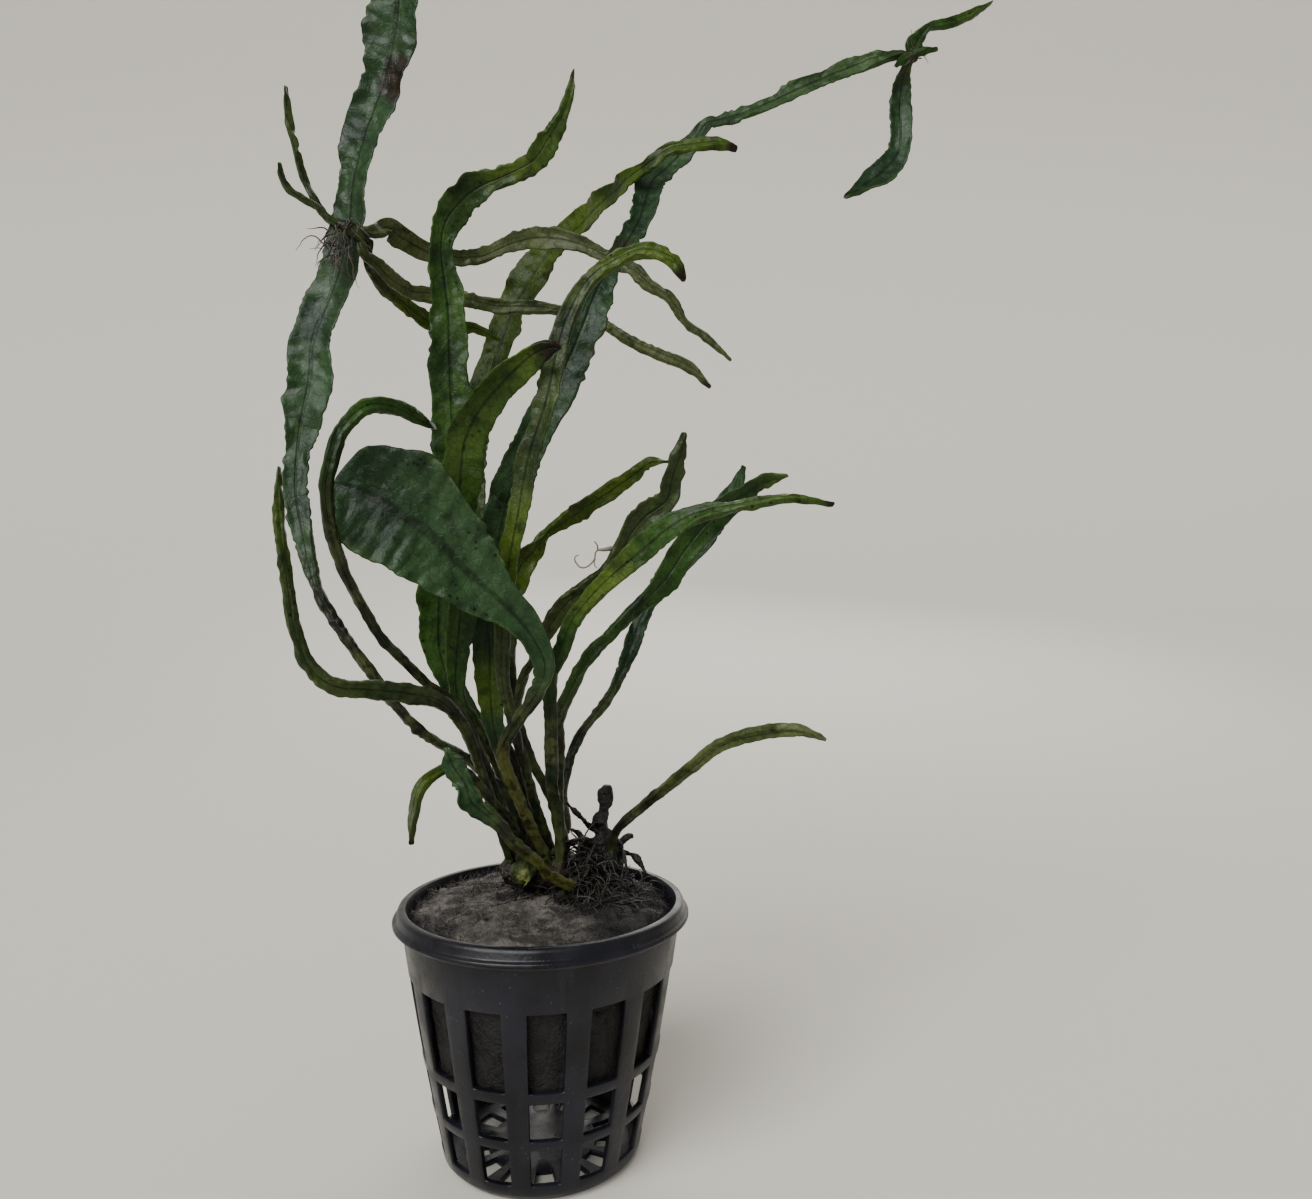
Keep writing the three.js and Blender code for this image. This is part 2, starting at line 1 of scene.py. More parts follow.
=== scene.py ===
# Potted narrow leaf java fern: ribbon leaves on a creeping rhizome, a wool plug and a slatted net pot.
# Metres, +Z up. Rows of places are in millimetres and become metres as a piece is made.
import math
import random

import bmesh
import bpy
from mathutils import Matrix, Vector, noise


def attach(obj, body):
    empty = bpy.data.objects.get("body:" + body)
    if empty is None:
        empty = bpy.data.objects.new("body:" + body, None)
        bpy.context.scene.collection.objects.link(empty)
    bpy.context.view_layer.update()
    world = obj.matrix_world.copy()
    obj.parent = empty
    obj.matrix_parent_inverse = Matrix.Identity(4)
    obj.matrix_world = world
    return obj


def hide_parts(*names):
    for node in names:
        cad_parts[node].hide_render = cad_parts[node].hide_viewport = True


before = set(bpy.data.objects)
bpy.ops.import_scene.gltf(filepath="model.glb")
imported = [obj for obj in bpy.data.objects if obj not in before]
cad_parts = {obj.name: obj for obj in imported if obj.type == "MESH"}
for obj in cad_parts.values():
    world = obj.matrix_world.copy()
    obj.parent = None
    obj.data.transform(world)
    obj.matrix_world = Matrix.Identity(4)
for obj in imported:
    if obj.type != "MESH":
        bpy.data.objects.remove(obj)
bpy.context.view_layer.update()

MM = 0.001

# Net pot. Its wall is cut in columns, counted from the middle of each rib.
WALL_TOP = 41
WALL_TOP_RADIUS = 24.4
WALL_FOOT_RADIUS = 17.4
WALL_BULGE = 0.4
BASE_RADIUS = 15.8
BASE_EDGE = 1.6
RIBS = 14
RIB_TURN = -94.5
COLUMNS_PER_RIB = 10
RIB_HALF_COLUMNS = 1.6
WALL_LEVELS = [BASE_EDGE, 3.2, 6.4, 9.6, 11.2, 14.5, 17.8, 19.6, 24, 28.5, 33, 37, WALL_TOP, 42]
WINDOW_TIERS = [(3.2, 9.6), (11.2, 17.8), (19.6, 33)]
BASE_SLOT_INNER = 9.5
BASE_SLOT_OUTER = 13.6
POT_WALL = 1.0
WINDOW_BEVEL = 0.22
# Section of the rim band, as radius and height
RIM_SECTION = [
    (23.2, 40.6), (24.9, 40.6), (25.3, 41.2), (25.75, 41.25), (26, 41.45), (26, 41.8), (25.85, 42),
    (25.45, 42.15), (25.3, 42.4), (25.2, 43.3), (24.95, 43.8), (24.5, 44), (23.8, 43.95), (23.5, 43.4),
    (23.2, 40.6),
]

# Wool and rhizome
WOOL_FOOT = 17
WOOL_EDGE = 42.4
WOOL_DOME = 2.4
WOOL_COLUMNS = 64
MOUTH_RADIUS = 24
TOP_FIBRES = 3400
SIDE_FIBRES = 1200
FIBRE_THICK = 0.11
ROOT_LIFT = 0.15
STEM_HEIGHT = 48
STEM_RADIUS = 2.4
STUB_TOP = 50.8
CREEPING_ROOTS = 70
TANGLED_ROOTS = 520
ROOT_THICK = 0.34
LOW_TUFT = 46
TIP_TUFT = 9
TUFT_THICK = 0.26

# Leaves. Narrower than STALK_LIMIT a leaf is a round stalk, and wider than BLADE_LIMIT a thin blade. A blade
# is BLADE_SHARE as thick as a stalk, and its green begins at BLADE_START.
LEAF_BASE = 51.6
LEAF_FOOT = 49.4
BLADE_WIDTH = 8
BLADE_COLUMNS = 10
BLADE_STEP = 0.45
TOOTH_WIDTH = 3.2
STALK_LIMIT = 2.4
BLADE_LIMIT = 3.8
TIP_SHARE = 0.35
BLADE_START = 2.3
SWAY_WAVES = 2.3
LEAF_WALL = 1.2
BLADE_SHARE = 0.34
SHEET_GAP = 9
# How deep the patterns of a leaf go: its cup, teeth, lobes, waves, ruffle, quilting and the stalk's bark
CUP_DEPTH = 0.9
TOOTH_DEPTH = 3.2
LOBE_DEPTH = 4.0
WAVE_DEPTH = 2.4
RUFFLE_DEPTH = 5.5
QUILT_DEPTH = 0.8
BARK_DEPTH = 0.55

# Each leaf: finish, turn of its face at base and tip in degrees, and its route as rows of
# x, y, z and the width seen from the front.
LEAVES = {
    # Big broad leaf at the left, taller than the rest, with a pinch at a third of its height
    "leaf_01": ("dark", 20, -30, [
        [-3, 4, LEAF_BASE, 1.6], [-7, 4, 61, 1.6], [-14, 3, 68, 1.6], [-20, 1, 72, 1.6],
        [-24, -1, 76, 1.6], [-30, -2, 84, 1.7], [-35, -2, 91, 1.7], [-40, -1, 99, 1.9],
        [-43, 1, 108, 2.8], [-45.3, 3, 117, 4.7], [-45.5, 5, 127, 5.2], [-44.9, 5.3, 131.4, 6.4],
        [-43.8, 6, 138, 8.8], [-43.4, 7, 146, 8.6], [-39.6, 8, 157, 8], [-37.2, 8, 167, 6.8],
        [-36.6, 8, 174, 7.2], [-34.2, 7, 183, 7.7], [-30.2, 6, 193, 9.9], [-27.3, 4, 203, 10.7],
        [-26, 2, 213, 8], [-24, 0, 223, 1],
    ]),
    # Thin olive leaf that leaves the bunch sideways and turns up at the far left
    "leaf_02": ("olive", 0, 20, [
        [-6, 0, LEAF_BASE, 1.4], [-9, -3, 62, 1.5], [-12, -7, 74, 1.6], [-15, -12, 80, 1.9],
        [-20, -16, 82, 2.6], [-25, -20, 83, 2.7], [-29, -24, 84, 2.5], [-32, -26, 87, 2.1],
        [-34, -27, 93, 1.8], [-35, -28, 102, 1.4], [-36, -28, 111, 1.2], [-36, -28, 117, 0.6],
    ]),
    # Tall leaf left of the middle, with a broad waist and a bent tip
    "leaf_03": ("mid", -15, 25, [
        [-4, 12, LEAF_BASE, 1.7], [-9, 13, 63, 1.7], [-15, 13, 75, 3], [-20.5, 12, 85, 6],
        [-20.8, 11, 97, 9], [-18.5, 10, 112, 7], [-18, 9, 127, 7.2], [-18.4, 8.6, 142, 7.4],
        [-18.6, 8.3, 150, 6.8], [-19.2, 8, 156, 6], [-19.8, 7.2, 163, 3.8], [-18.4, 6.4, 168, 5],
        [-13.5, 5, 172.3, 5.4], [-8, 4, 174.4, 2.8], [-3.8, 3, 175.8, 3.1], [-1.3, 2, 177.2, 3.3],
        [0.8, 1, 179.9, 3.4], [3.2, 0.2, 183.2, 2], [4.8, 0, 187.4, 1.5], [5.5, 0, 191.9, 0.6],
    ]),
    # Short broad leaf that crosses the bunch and lies over to the left
    "leaf_04": ("dark", 0, 10, [
        [0, 0, LEAF_BASE, 1.8], [-4, -4, 63, 1.7], [-6, -7, 71, 1.9], [-3, -9, 77, 2], [0, -11, 81, 2.3],
        [2, -13, 86, 3], [0, -14, 91, 4.3], [-4, -15, 96, 7], [-9.8, -16, 101.2, 13],
        [-15, -17, 106.8, 18], [-20.8, -18, 111, 19], [-26, -18, 114, 15.5], [-29.2, -18, 115.2, 10.5],
        [-31.2, -18, 115.8, 4],
    ]),
    # Small leaf that arches over and points back at the middle
    "leaf_05": ("mid", 0, 15, [
        [-6, 4, LEAF_BASE, 1.4], [-8, 1, 61, 1.4], [-11, -1, 70, 1.4], [-14, -5, 78, 1.4],
        [-19, -8, 83, 1.3], [-22, -11, 87, 1.3], [-25, -14, 91, 1.3], [-27, -17, 96, 1.4],
        [-29, -20, 102, 1.5], [-30, -23, 108, 1.8], [-30, -25, 114, 1.9], [-29, -25, 119, 2.1],
        [-28, -24, 123, 2.2], [-25, -22, 127, 2.4], [-22, -18, 128, 2.4], [-19, -13, 127, 2.1],
        [-17, -9, 126, 0.8],
    ]),
    # Long dark leaf of the middle, which leans over to the right and carries a plantlet at its tip
    "leaf_06": ("dark", 10, -20, [
        [-3, 8, LEAF_BASE, 1.9], [-6, 6, 62, 2], [-9, 5, 71, 2.8], [-10, 4, 79, 4.4], [-10, 3, 87, 5.2],
        [-10, 1, 97, 5.4], [-8, 0, 107, 6.1], [-6, -1, 115, 6.4], [-3, -2, 122, 6.7], [1, -3, 130, 6.3],
        [4, -3, 137, 6.7], [7, -3, 144, 6.8], [9.4, -1.5, 151, 5.7], [11.6, 1, 156.5, 4.6],
        [14.5, 4, 161.8, 4.6], [17.1, 7, 167.6, 3.9], [18.1, 9.5, 171.8, 5], [19.5, 12, 176.9, 6.2],
        [22.5, 14, 180.8, 4.6], [25.1, 15.3, 184, 4.5], [27.8, 16, 187.2, 3.9], [30, 16.5, 190.4, 3.5],
        [32.8, 16.8, 191.4, 3.7], [38.9, 17, 193.2, 3.1], [48.5, 17.3, 197.8, 4.2],
        [59.3, 17.6, 202.4, 3.5], [67.6, 17.6, 204.8, 1.8],
    ]),
    # Front leaf with a brown tip
    "leaf_07": ("mid", 0, 25, [
        [-6, 8, LEAF_BASE, 1.6], [-9, 9, 64, 1.6], [-13, 5, 74, 2.2], [-15.5, 0.5, 81, 3.2],
        [-14, -3, 97, 4.6], [-14, -5, 109, 5.2], [-13, -8, 118, 5.8], [-12, -9, 124, 6.1],
        [-9, -11, 129, 6], [-4, -13, 134, 5.3], [0, -15, 137, 3.9], [3, -16, 138, 2.3],
        [5, -16, 138, 0.8],
    ]),
    # Lime leaf at the back of the bunch
    "leaf_08": ("lime", 0, -25, [
        [-1, 12, LEAF_BASE, 1.7], [-6, 17, 61, 1.8], [-12, 20, 73, 2], [-15, 23, 85, 2.4],
        [-17, 26, 99, 4.1], [-18, 28, 114, 5.8], [-18, 30, 129, 6.3], [-16, 31, 140, 6.4],
        [-14, 32, 148, 6.4], [-11, 33, 157, 6.4], [-7, 33, 165, 7.3], [-1.6, 32, 172, 7.4],
        [4, 29.5, 175.3, 7.3], [7, 24, 175.9, 6.3], [10.3, 19, 176.8, 5.2], [12.8, 15, 176.9, 4.6],
        [14.9, 11.5, 177.6, 3.8], [18.5, 8.5, 178.5, 2.9], [22.4, 7, 180.6, 2.7], [26.7, 6.5, 181.4, 3],
        [31.7, 6.5, 181.7, 2.4], [35.3, 6.5, 180.8, 0.6],
    ]),
    # Slender leaf that crosses in front of the dark one and curls over at its brown tip
    "leaf_09": ("olive", 0, -20, [
        [0, 4, LEAF_BASE, 1.6], [-2, 1, 62, 1.6], [-4, -3, 72, 1.7], [-6, -6, 82, 2.1], [-6, -8, 90, 2.7],
        [-5, -9, 101, 3.4], [-3, -10, 111, 3.7], [-1, -11, 121, 3.7], [2, -12, 130, 3.7],
        [4, -12, 139, 3.3], [6, -12, 145, 3], [9, -12, 150, 2.7], [13, -12, 153, 2.7],
        [18, -12, 155, 2.8], [22, -12, 154, 2.7], [24, -12, 152, 2], [25, -12, 150, 0.8],
    ]),
    # Small wavy leaf with a pinched waist
    "leaf_10": ("lime", 0, 30, [
        [0, 8, LEAF_BASE, 1.5], [-3, 10, 59, 1.5], [-5, 11, 68, 1.5], [-7, 12, 78, 1.7],
        [-8, 13, 87, 2.3], [-8, 14, 95, 3.9], [-7, 14, 101, 5.4], [-5, 14, 105, 5.8], [-3, 14, 107, 3.9],
        [-1, 14, 110, 1.5], [5, 13, 114, 3.3], [10, 12, 117, 3.4], [13, 11, 119, 2.9], [16, 10, 121, 2.4],
        [19, 9, 123, 1.5], [23, 8, 123, 0.6],
    ]),
    # Grey-green leaf that zigzags up to the right
    "leaf_11": ("olive", 0, 30, [
        [3, 4, LEAF_BASE, 1.5], [1, 5, 60, 1.5], [-3, 4, 69, 1.4], [-5, 3, 76, 1.3], [-4, 2, 82, 1.3],
        [-2, 0, 86, 1.4], [0, -2, 90, 2.1], [4, -4, 96, 3], [8, -5, 99, 2.6], [12, -6, 102, 2.6],
        [15, -7, 107, 2.9], [18, -8, 111, 4.4], [22, -9, 114, 3.7], [23, -10, 118, 3.7],
        [24, -11, 121, 3], [25, -12, 125, 1],
    ]),
    # Bright leaf that bows over to the right
    "leaf_12": ("mid", 0, -25, [
        [3, 0, LEAF_BASE, 1.8], [3, -1, 58, 1.9], [2, -3, 64, 2.1], [2, -5, 71, 2.2], [2, -6, 78, 2.2],
        [2, -7, 84, 2.6], [4, -9, 88, 2.7], [6, -11, 93, 2.5], [9, -13, 97, 2.6], [13, -15, 101, 3.3],
        [18, -17, 105, 4.3], [23, -19, 109, 3.8], [28, -20, 111, 2.5], [34, -21, 112, 1.6],
        [41, -22, 113, 1.2], [48, -22, 112, 0.6],
    ]),
    # Leaf that bows over to the right behind the bright one
    "leaf_13": ("mid", 0, 25, [
        [3, 8, LEAF_BASE, 1.7], [2, 8, 56, 1.8], [2, 8, 63, 1.9], [2, 8, 70, 2], [2, 8, 75, 2.2],
        [5, 9, 82, 2.4], [8, 10, 87, 2.5], [11, 11, 90, 2], [14, 12, 93, 2], [18, 13, 97, 2.7],
        [22, 14, 101, 4.6], [26, 15, 107, 5.3], [31, 16, 113, 5.5], [37, 17, 117.6, 4.1],
        [42, 18, 120.6, 2.8], [46.5, 18.5, 121.8, 0.6],
    ]),
    # Rearmost leaf of the right side
    "leaf_14": ("dark", 0, -30, [
        [2, 12, LEAF_BASE, 1.5], [3, 13, 54, 1.5], [2, 15, 59, 1.5], [3, 17, 65, 1.6], [5, 19, 70, 1.6],
        [8, 21, 74, 1.7], [11, 23, 78, 1.8], [13, 25, 82, 2.5], [15, 26, 87, 2.9], [17, 28, 93, 3.5],
        [20, 29, 98, 4.2], [25, 31, 105, 5.1], [31, 32, 112, 5.5], [36, 33, 119, 4.7], [39, 34, 126, 0.8],
    ]),
    # Low yellow-green leaf from the far end of the rhizome
    "leaf_15": ("lime", 0, 20, [
        [12, 5, LEAF_BASE, 1.4], [13, 3, 55, 1.4], [15, 1, 57.6, 1.5], [18, 0, 60.4, 1.6],
        [23, -4, 65.2, 1.9], [27, -7, 69, 2], [31, -10, 72.7, 2.2], [37, -14, 75.3, 2.2],
        [43, -18, 76.3, 1.8], [47, -20, 75, 0.6],
    ]),
    # Small leaf that hangs over the rim at the left
    "leaf_16": ("olive", 0, 20, [
        [-3, 0, LEAF_BASE, 1.2], [-5, -4, 58, 1.2], [-8, -8, 63, 1.2], [-12, -9, 68, 1.3],
        [-15, -11, 69, 1.6], [-18, -14, 67, 1.9], [-19, -16, 63, 1.7], [-19, -18, 58, 0.6],
    ]),
    # Old leaf whose stalk lies on the wool in front of the rhizome, with a short lobed blade
    "leaf_17": ("dark", 0, 0, [
        [6, -4, 47, 1.6], [2, -7, 50, 1.6], [0, -9, 53, 1.5], [-3, -11, 56, 1.5], [-6, -12, 60, 1.7],
        [-8, -13, 62, 2.6], [-10, -14, 64, 5], [-11, -14, 67, 3.4], [-13, -14, 70, 4.2],
        [-14, -14, 73, 0.8],
    ]),
    # Leaves of the plantlet on the big leaf, and the one that hangs from the plantlet at the dark tip
    "plantlet_leaf_upper": ("olive", 10, -10, [
        [-32, 8, 166, 2.6], [-31, 12, 168.2, 3.7], [-29, 14, 167.2, 4], [-25, 17, 165.6, 3.9],
        [-21, 20, 165.6, 3.4], [-15, 22, 166.4, 2.8], [-9, 23, 169.4, 3.8], [-3, 24, 171, 4.3],
        [3.9, 23, 169.6, 3.4], [10.1, 22, 166.6, 2.5], [16, 21, 163, 2.6], [19, 20, 160, 2.4],
        [23, 19, 157, 1.8], [26, 18, 152, 1.6], [30, 17, 149, 1.6], [35, 16, 144, 0.6],
    ]),
    "plantlet_leaf_lower": ("lime", 10, -10, [
        [-33.6, 4.6, 160.9, 1.7], [-31.9, 8, 159.9, 2.4], [-30.4, 11, 158.5, 2.7],
        [-28.9, 14, 157.8, 2.7], [-27.2, 17, 157.6, 2.7], [-22.4, 19.5, 157.9, 2.7], [-17, 20, 157, 2.8],
        [-11, 21, 156, 3], [-4, 21, 156, 2.6], [2, 21, 155, 1.8], [9, 21, 153, 1.6], [15, 20, 149, 2.2],
        [21, 19, 146, 2.2], [27, 18, 143, 2.2], [31, 17, 139, 0.8],
    ]),
    "plantlet_leaf_hanging": ("dark", 0, 30, [
        [70, 20, 202.6, 1.8], [69.5, 20.5, 200.5, 3.8], [69.2, 21, 195.7, 4.4], [69.3, 20.5, 191, 4.2],
        [68.8, 20, 187, 4.4], [66.8, 19, 183.6, 5], [62.8, 18, 180, 4.6], [57, 16, 176, 0.8],
    ]),
}

# Crowns of the plantlets, as rows of x, y, z and radius, and the small leaves that are fused to them
LOW_PLANTLET_LEAVES = [
    [
        [-33, 6, 164, 1.4], [-34, 8.6, 160.6, 1.6], [-32.8, 12.5, 158, 2.2], [-31.5, 16.5, 157, 2.6],
        [-29.9, 19.5, 156.1, 2.9], [-28.5, 21, 155.2, 3], [-25.8, 23.5, 153.8, 2.8],
        [-21, 24.5, 153, 2.4], [-17, 26, 153, 2], [-12, 27, 151, 0.6],
    ],
    [
        [-37, 4, 165, 1.2], [-40, 3, 167, 1.1], [-42, 3, 170, 1.1], [-44, 3, 174, 1.1],
        [-45, 2, 179, 1.1], [-46, 1, 184, 1], [-46, 0, 189, 0.6],
    ],
    [
        [-37, 4, 165, 1.2], [-39, 2, 166, 1], [-41, 1, 168, 1], [-43, 0, 169, 1], [-45, -1, 170, 0.9],
        [-46, -2, 172, 0.8], [-46, -3, 174, 0.6],
    ],
]
LOW_PLANTLET_CROWN = [[-39, 4, 166, 1], [-36, 4, 165, 1.5], [-34, 5, 164, 1.3], [-33, 6, 164, 0.8]]
TIP_PLANTLET_LEAVES = [
    [
        [70.5, 18, 204.7, 1.4], [71.3, 18, 206.6, 3.4], [72.4, 19, 208.6, 2.8], [74.5, 19, 211, 1.3],
        [79, 20, 212.6, 1.6], [83.7, 21, 215, 1.5], [88.2, 22, 218, 0.6],
    ],
    [[70.5, 18, 204.7, 1.2], [72.8, 17, 205.3, 1.4], [75.4, 16, 205, 0.6]],
    [[70.5, 18, 204.7, 1.2], [68.6, 16.4, 203, 1.8], [66.8, 15.4, 201.4, 0.6]],
]
TIP_PLANTLET_CROWN = [[69.9, 17.4, 204.9, 0.7], [70.7, 18, 204.7, 1.1], [71.8, 18.8, 204.4, 0.7]]

# Rods of the rhizome: rows of x, y, z and radius
RHIZOME_STEMS = [
    [
        [-8, 4, STEM_HEIGHT, 1.4], [-5, 4, STEM_HEIGHT, 2.5], [0, 4, STEM_HEIGHT, STEM_RADIUS],
        [6, 5, STEM_HEIGHT, STEM_RADIUS], [11, 7, STEM_HEIGHT, 2.2], [14, 8, 47.5, 1.2],
    ],
    [
        [-7, 0, STEM_HEIGHT, 1.6], [-3, 0, STEM_HEIGHT, STEM_RADIUS], [2, 0, STEM_HEIGHT, STEM_RADIUS],
        [5, 1, 47.5, 1.4],
    ],
    [
        [-7, 9, STEM_HEIGHT, 1.6], [-3, 9, STEM_HEIGHT, STEM_RADIUS], [2, 10, STEM_HEIGHT, STEM_RADIUS],
        [5, 10, 47.5, 1.4],
    ],
    [
        [-2, -1, STEM_HEIGHT, 1.8], [-2, 4, STEM_HEIGHT, STEM_RADIUS], [-2, 9, STEM_HEIGHT, STEM_RADIUS],
        [-1, 13, STEM_HEIGHT, 1.8],
    ],
    [[-3, 0, STEM_HEIGHT, 2.2], [-3.2, -3.6, 49.5, 2.3], [-3.4, -5.4, 50.2, 1.3]],
]
# The rhizome's green growing end, and the pale lip of its bud
GROWING_END = (-3.2, -4.4, 49.8)
BUD_LIP = (-2.5, -6.2, 49.2)
# Dead stumps of old stalks at the right, dark and knobbly
OLD_STUMPS = [
    [
        [9.4, 8, 48, 2.6], [9.9, 8, 51.4, 1.8], [10.1, 8, 54.2, 1.1], [9.8, 8, 56, 1.5],
        [10.5, 8, 57.9, 1], [10.7, 8, 60, 1.6], [11.2, 8, 62.5, 0.8],
    ],
    [[12, 8, 48, 1.4], [14, 9, 52, 0.9], [16, 9, 53, 0.6]],
    [[7, 7, 48, 1.2], [6, 8, 53, 0.8], [4, 9, 54, 0.5]],
]
# Thin dead twigs and thick roots about the stumps
DEAD_TWIGS = [
    [[9.5, 8, 53.6, 0.7], [7, 7, 55.8, 0.45], [5, 6.6, 58, 0.5], [3.6, 6.4, 59.6, 0.3]],
    [[9, 8, 52, 0.8], [5, 5, 52.6, 0.5], [1, 0, 51.4, 0.45], [-2, -6, 48.4, 0.35], [-4, -9, 46.2, 0.25]],
    [[11, 8, 54, 0.7], [13, 7, 52.4, 0.5], [14.4, 4, 50, 0.4], [15, 0, 46.4, 0.3]],
    [[12, 8, 50, 0.8], [9, 3, 49.4, 0.6], [5, -3, 46.6, 0.45], [3, -7, 45.6, 0.3]],
    [[13, 8, 50, 0.7], [16, 7, 49.6, 0.5], [18.6, 5, 46.4, 0.35]],
]


# Tools of the bench

def take(*pieces):
    """Selects these pieces alone, the first of them active."""
    bpy.ops.object.select_all(action="DESELECT")
    for piece in pieces:
        piece.select_set(True)
    bpy.context.view_layer.objects.active = pieces[0]


def open_mesh(piece, mode="VERT"):
    take(piece)
    bpy.ops.object.mode_set(mode="EDIT")
    bpy.ops.mesh.select_mode(type=mode)
    bpy.ops.mesh.select_all(action="DESELECT")


def close_mesh():
    bpy.ops.object.mode_set(mode="OBJECT")


def pick(piece, kind, test):
    """Selects the vertices, edges or faces of the open mesh that pass a test on their middle."""
    mesh = bmesh.from_edit_mesh(piece.data)
    bpy.ops.mesh.select_all(action="DESELECT")
    if kind == "VERT":
        for vert in mesh.verts:
            vert.select = test(vert.co)
    elif kind == "EDGE":
        for edge in mesh.edges:
            edge.select = test((edge.verts[0].co + edge.verts[1].co) / 2)
    else:
        for face in mesh.faces:
            face.select = test(face.calc_center_median())
    mesh.select_flush_mode()
    bmesh.update_edit_mesh(piece.data)


def settle(piece):
    """Puts the piece's place, turn and size into its mesh."""
    take(piece)
    bpy.ops.object.transform_apply(location=True, rotation=True, scale=True)


def modify(piece, kind, **settings):
    """Gives a piece one more modifier with these settings."""
    modifier = piece.modifiers.new(kind.lower(), kind)
    for name, value in settings.items():
        setattr(modifier, name, value)


def finish_modifiers(piece):
    take(piece)
    for modifier in list(piece.modifiers):
        bpy.ops.object.modifier_apply(modifier=modifier.name)


def smooth(piece, angle=None):
    take(piece)
    if angle is None:
        bpy.ops.object.shade_smooth()
    else:
        bpy.ops.object.shade_smooth_by_angle(angle=math.radians(angle))


def hand_over(piece, name, slot, material, *nodes):
    """Names a finished piece, gives it its finish and lets it stand for its solids."""
    piece.name = name
    piece.data.name = name
    piece.data.materials.clear()
    piece.data.materials.append(material)
    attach(piece, "root")
    if nodes:
        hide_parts(*nodes)


def fuse(pieces):
    take(*pieces)
    bpy.ops.object.join()
    return bpy.context.object


def cloud(name, size, depth=1):
    """A cloudy pattern whose lumps have a size in millimetres."""
    texture = bpy.data.textures.new(name, "CLOUDS")
    texture.noise_scale = size * MM
    texture.noise_depth = depth
    return texture


def push(piece, texture, strength, group="", direction="NORMAL"):
    """Moves the surface by a pattern, as far as the vertex group lets it."""
    modify(
        piece, "DISPLACE", texture=texture, texture_coords="LOCAL", direction=direction,
        strength=strength * MM, mid_level=0.5, vertex_group=group,
    )


def weigh(piece, name, rule):
    """A vertex group whose weights follow a rule of the place."""
    group = piece.vertex_groups.new(name=name)
    for vert in piece.data.vertices:
        group.add([vert.index], rule(vert.co), "REPLACE")
    return name


def add_marks(piece, names):
    """Numbers of each vertex that the finishes read, all made before the first is written."""
    for name in names:
        piece.data.attributes.new(name, "FLOAT", "POINT")
    return [piece.data.attributes[name].data for name in names]


def blend_between(low, high, share):
    return low + (high - low) * share


def ease(value, low, high):
    """A smooth rise from 0 at low to 1 at high; low may be the larger."""
    share = min(max((value - low) / (high - low), 0), 1)
    return share * share * (3 - 2 * share)


# Finishes

class Nodes:
    """A material's node tree, with short calls for the nodes that the finishes here are built from."""

    def __init__(self, name):
        self.material = bpy.data.materials.new(name)
        self.material.use_nodes = True
        self.tree = self.material.node_tree
        self.shader = self.tree.nodes["Principled BSDF"]
        self.output = self.tree.nodes["Material Output"]
        self.place = self.tree.nodes.new("ShaderNodeTexCoord").outputs

    def feed(self, target, value):
        """Joins a socket to the target, or sets the target to a plain value."""
        if isinstance(value, bpy.types.NodeSocket):
            self.tree.links.new(value, target)
        else:
            target.default_value = value

    def add(self, kind, **inputs):
        """A new node, its inputs fed by name."""
        node = self.tree.nodes.new("ShaderNode" + kind)
        for name, value in inputs.items():
            self.feed(node.inputs[name.replace("_", " ")], value)
        return node

    def math(self, operation, a, b=0.0):
        node = self.add("Math")
        node.operation = operation
        self.feed(node.inputs[0], a)
        self.feed(node.inputs[1], b)
        return node.outputs[0]

    def times(self, a, b):
        return self.math("MULTIPLY", a, b)

    def plus(self, a, b):
        return self.math("ADD", a, b)

    def noise(self, scale, detail=3, roughness=0.55, stretch=(1, 1, 1)):
        place = self.add("Mapping", Vector=self.place["Object"], Scale=stretch).outputs["Vector"]
        node = self.add("TexNoise", Vector=place, Scale=scale, Detail=detail, Roughness=roughness)
        return node.outputs["Fac"]

    def cells(self, scale):
        return self.add("TexVoronoi", Vector=self.place["Object"], Scale=scale).outputs["Distance"]

    def veins(self, scale):
        """1 on the lines of a net and 0 in its meshes."""
        node = self.add("TexVoronoi", Vector=self.place["Object"], Scale=scale)
        node.feature = "DISTANCE_TO_EDGE"
        return self.span(node.outputs["Distance"], 0.03, 0.14, 1, 0)

    def axis(self, name, source="Object"):
        return self.add("SeparateXYZ", Vector=self.place[source]).outputs[name]

    def across(self):
        """0 on the midrib and 1 on the margin of a leaf."""
        side = self.math("SUBTRACT", self.axis("Y", "UV"), 0.5)
        return self.times(self.math("ABSOLUTE", side), 2.0)

    def attribute(self, name):
        node = self.add("Attribute")
        node.attribute_name = name
        return node.outputs["Fac"]

    def span(self, value, low, high, start=0.0, end=1.0):
        """A smooth way from start to end as the value goes from low to high."""
        node = self.add("MapRange", Value=value, From_Min=low, From_Max=high, To_Min=start, To_Max=end)
        node.interpolation_type = "SMOOTHSTEP"
        return node.outputs["Result"]

    def colour(self, share, first, second):
        node = self.add("Mix")
        node.data_type = "RGBA"
        self.feed(node.inputs["Factor"], share)
        self.feed(node.inputs[6], first)
        self.feed(node.inputs[7], second)
        return node.outputs[2]

    def bump(self, height, distance, strength):
        node = self.add("Bump", Height=height, Distance=distance, Strength=strength)
        self.feed(self.shader.inputs["Normal"], node.outputs["Normal"])

    def surface(self, colour, roughness, specular=0.5):
        self.feed(self.shader.inputs["Base Color"], colour)
        self.feed(self.shader.inputs["Roughness"], roughness)
        self.feed(self.shader.inputs["Specular IOR Level"], specular)


def rgb(red, green, blue):
    return (red, green, blue, 1)


